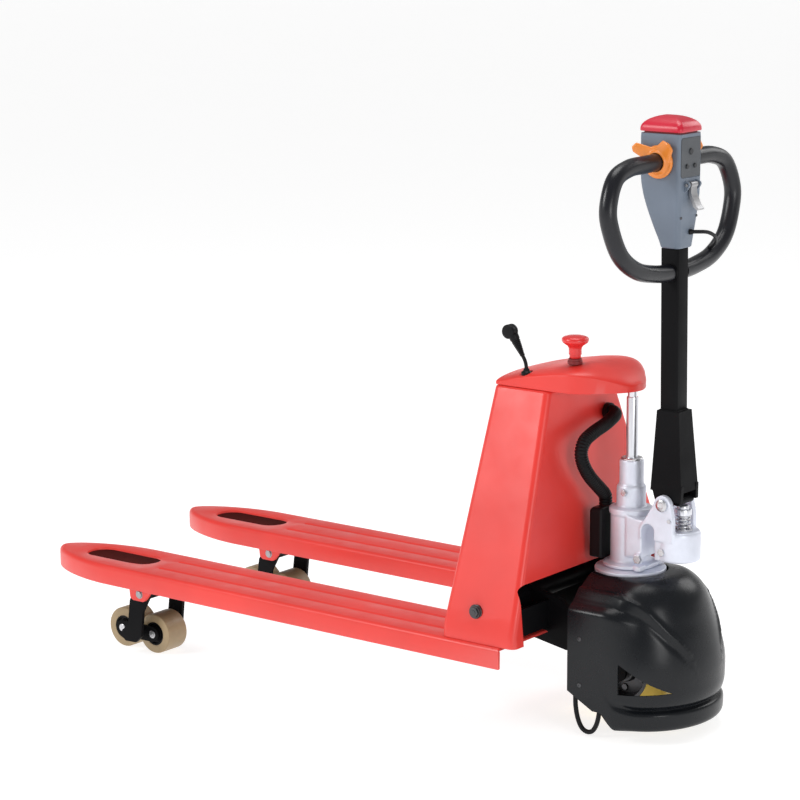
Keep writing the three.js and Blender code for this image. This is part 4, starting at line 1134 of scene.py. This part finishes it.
def head():
    levels = [905, 905.6, 907] + [909 + 7 * i for i in range(29)] + [1111.4, 1112]
    rings = []
    for z in levels:
        edge = 1.4 * max(0, (907 - z) / 2) + 0.9 * max(0, z - 1111)
        half = min(averaged(HEAD_SIDE, z, 14), 38) - edge
        x0, x1 = max(averaged(HEAD_FRONT, z, 14), 1318) + edge, between(HEAD_BACK, z) - edge
        rings.append(level_ring(z, x0, x1, -half, half, 8, 7))
    cutters = [
        Body().prism(round_box(1323, 1399, -33, 33, 4), 1034, 1130, "xy"),
        Body().rod(12.4, 890, 961, (1376, 0, 0), "z", 40),
        Body().prism(round_box(-33, 33, 1033, 1106, 6, 6), 1402.6, 1420, "yz"),
    ]
    piece("head_housing_moulding", Body().loft(rings), grey_plastic(), "tiller", "grey_plastic",
        ("head_housing",), cutters=cutters, round_edge=0.7, angle=50)
    lugs = Body()
    for y0, y1 in ((16.5, 21), (-21, -16.5)):
        outline = [(1401, 1008), (1405, 1008), (1411, 1014)] + arc(1408.5, 1021, 6, -45, 90,
            8) + [(1401, 1030)]
        lugs.prism(outline, y0, y1)
    piece("lever_lugs", lugs, grey_plastic(), "tiller", "grey_plastic", round_edge=0.5,
          cutters=(Body().rod(3.3, -30, 30, LEVER_PIN, "y", 24),))
    plate = Body().prism(round_box(-32, 32, 1034, 1105, 5, 6), 1402, 1403.8, "yz")
    piece("operator_panel", plate, panel_plastic(), "tiller", "grey_plastic", round_edge=0.6)
    small = Body()
    small.turned([(0, 0), (6, 0), (6, 1), (5, 1.8), (0, 1.8)], (1404.2, 0, 1080), "x", 32)
    for y in (-13, 13):
        small.turned([(0, 0), (4.4, 0), (4.4, 1.4), (3.8, 2.2), (0, 2.2)], (1404.2, y, 1054), "x", 32)
    piece("panel_buttons", small, button_plastic(), "tiller", "black_plastic")
    screws = Body()
    for y, z in ((-26, 962), (26, 962)):
        screws.turned([(0, 1400), (2.4, 1400), (2.4, 1402.2), (1.6, 1402.8), (0, 1402.8)], (0, y, z), "x",
            20)
    piece("head_screws", screws, black_steel(), "tiller", "steel")
    crown = [(0.5, 1115.3), (0, 1115.9), (0, 1119.4), (0.5, 1123), (2, 1126.6), (5, 1130.6), (9, 1134),
        (14, 1137), (20, 1139.6), (26, 1141.5), (32, 1142.8), (36, 1143.3)]
    rings = []
    for d, z in crown:
        bow = 1 - d / 38
        rings.append(level_ring(z, 1316 + d, 1406 - d, d - 38, 38 - d, max(2.4, 9 * bow), 7))
    lid = Body().loft(rings)
    lid.box(1350, 1374, -12, 12, 1082, 1118)
    piece("head_stop_dome", lid, crimson_plastic(), "head_stop", "crimson_plastic", ("head_stop_cap",),
        angle=50)
    seam = Body().prism(round_box(1323.6, 1398.4, -32.4, 32.4, 4, 6), 1109, 1115.6, "xy")
    piece("head_seam_gasket", seam, dark_red(), "head_stop", "crimson_plastic", round_edge=0.5,
          cutters=(Body().prism(round_box(1328, 1394, -28, 28, 3), 1100, 1130, "xy"),))


def throttle(side, s):
    x, z = 1362, 1062
    body = Body()
    disc = [(16.4, 39.6), (28, 39.6), (30, 41), (30, 45), (28, 47), (24, 47.4), (21, 50), (19.6, 53),
        (17.6, 54), (16.4, 53)]
    body.ring(facing(s, disc), (x, 0, z), "y", 72)

    def lobe(ax, az, bx, bz, ra, rb):
        rings = []
        for i in range(13):
            share = i / 12
            cx, cz = ax + (bx - ax) * share, az + (bz - az) * share
            r = (ra + (rb - ra) * share) * (1 if share < 0.9 else math.sqrt(max(0.05,
                1 - ((share - 0.9) / 0.1) ** 2)))
            depth = 41.5 + 6 * share ** 1.5
            along = Vector((bx - ax, bz - az)).normalized()
            across = Vector((-along.y, along.x))
            ring = []
            for k in range(24):
                t = 2 * math.pi * k / 24
                u = r * math.cos(t)
                v = 5.4 * math.sin(t) * (1 - 0.2 * share)
                ring.append((cx + across.x * u, s * (depth + 4.6 + v), cz + across.y * u))
            rings.append(ring)
        body.loft(rings)

    lobe(x - 8, z + 10, x - 48, z + 26, 15, 9)
    lobe(x + 4, z + 6, x + 27, z + 34, 22, 13)
    cutter = Body().rod(16.2, -80, 80, (x, 0, z), "y", 48)
    piece(f"{side}_throttle_butterfly", body, orange_plastic(), "throttle", "orange_plastic",
        (f"{side}_throttle",), voxel=1.0, smooth=4, cutters=(cutter,))


def lever():
    blade = Body()
    profile = [(1406, 1026), (1411.4, 1025), (1412, 1006), (1421.4, 985), (1427.6, 979), (1426.8, 976.4),
               (1423.6, 976), (1416, 981.6), (1407.4, 1001)]
    blade.prism(profile, -10, 10)
    blade.turned(both_ways([(0, -23), (2.6, -23), (3, -22.6)]), LEVER_PIN, "y", 24)
    blade.turned(both_ways([(0, -10.4), (5, -10.4), (5.4, -10)]), LEVER_PIN, "y", 32)
    piece("lowering_lever_pressing", blade, raw_steel(), "lever", "chrome_rod", ("lowering_lever",),
        round_edge=1.4, segments=3, angle=50)


# ---- assembly

add_camera()
charger_lead()
loop_cable()
head_cable()
harness_conduit()
for side_name, sign in SIDES:
    fork(side_name, sign)
    rollers(side_name, sign)
    throttle(side_name, sign)
battery_box()
top_cap()
stop_button()
drive_cover()
turntable()
drive_wheel()
pump()
tiller()
head()
lever()
for node, paint, slot, edge in (
    ("heel_crossmember", red_paint(), "red_paint", 1.5),
    ("rocker_frame", black_paint(), "black_paint", 1.2),
    ("base_bracket", black_paint(), "black_paint", 1.2),
    ("wheel_yoke", black_paint(), "black_paint", 1.2),
    ("drive_motor", black_paint(), "black_paint", 2.0),
    ("battery_pack", black_plastic(), "battery_case", 3.0),
    ("motor_controller", silver_casting(), "silver_casting", 2.0),
    ("built_in_charger", silver_casting(), "silver_casting", 2.0),
    ("junction_block", black_plastic(), "black_plastic", 2.5),
    ("head_circuit_board", board_green(), "circuit_board", 0.3),
):
    refined(node, paint, slot, edge)
add_studio()
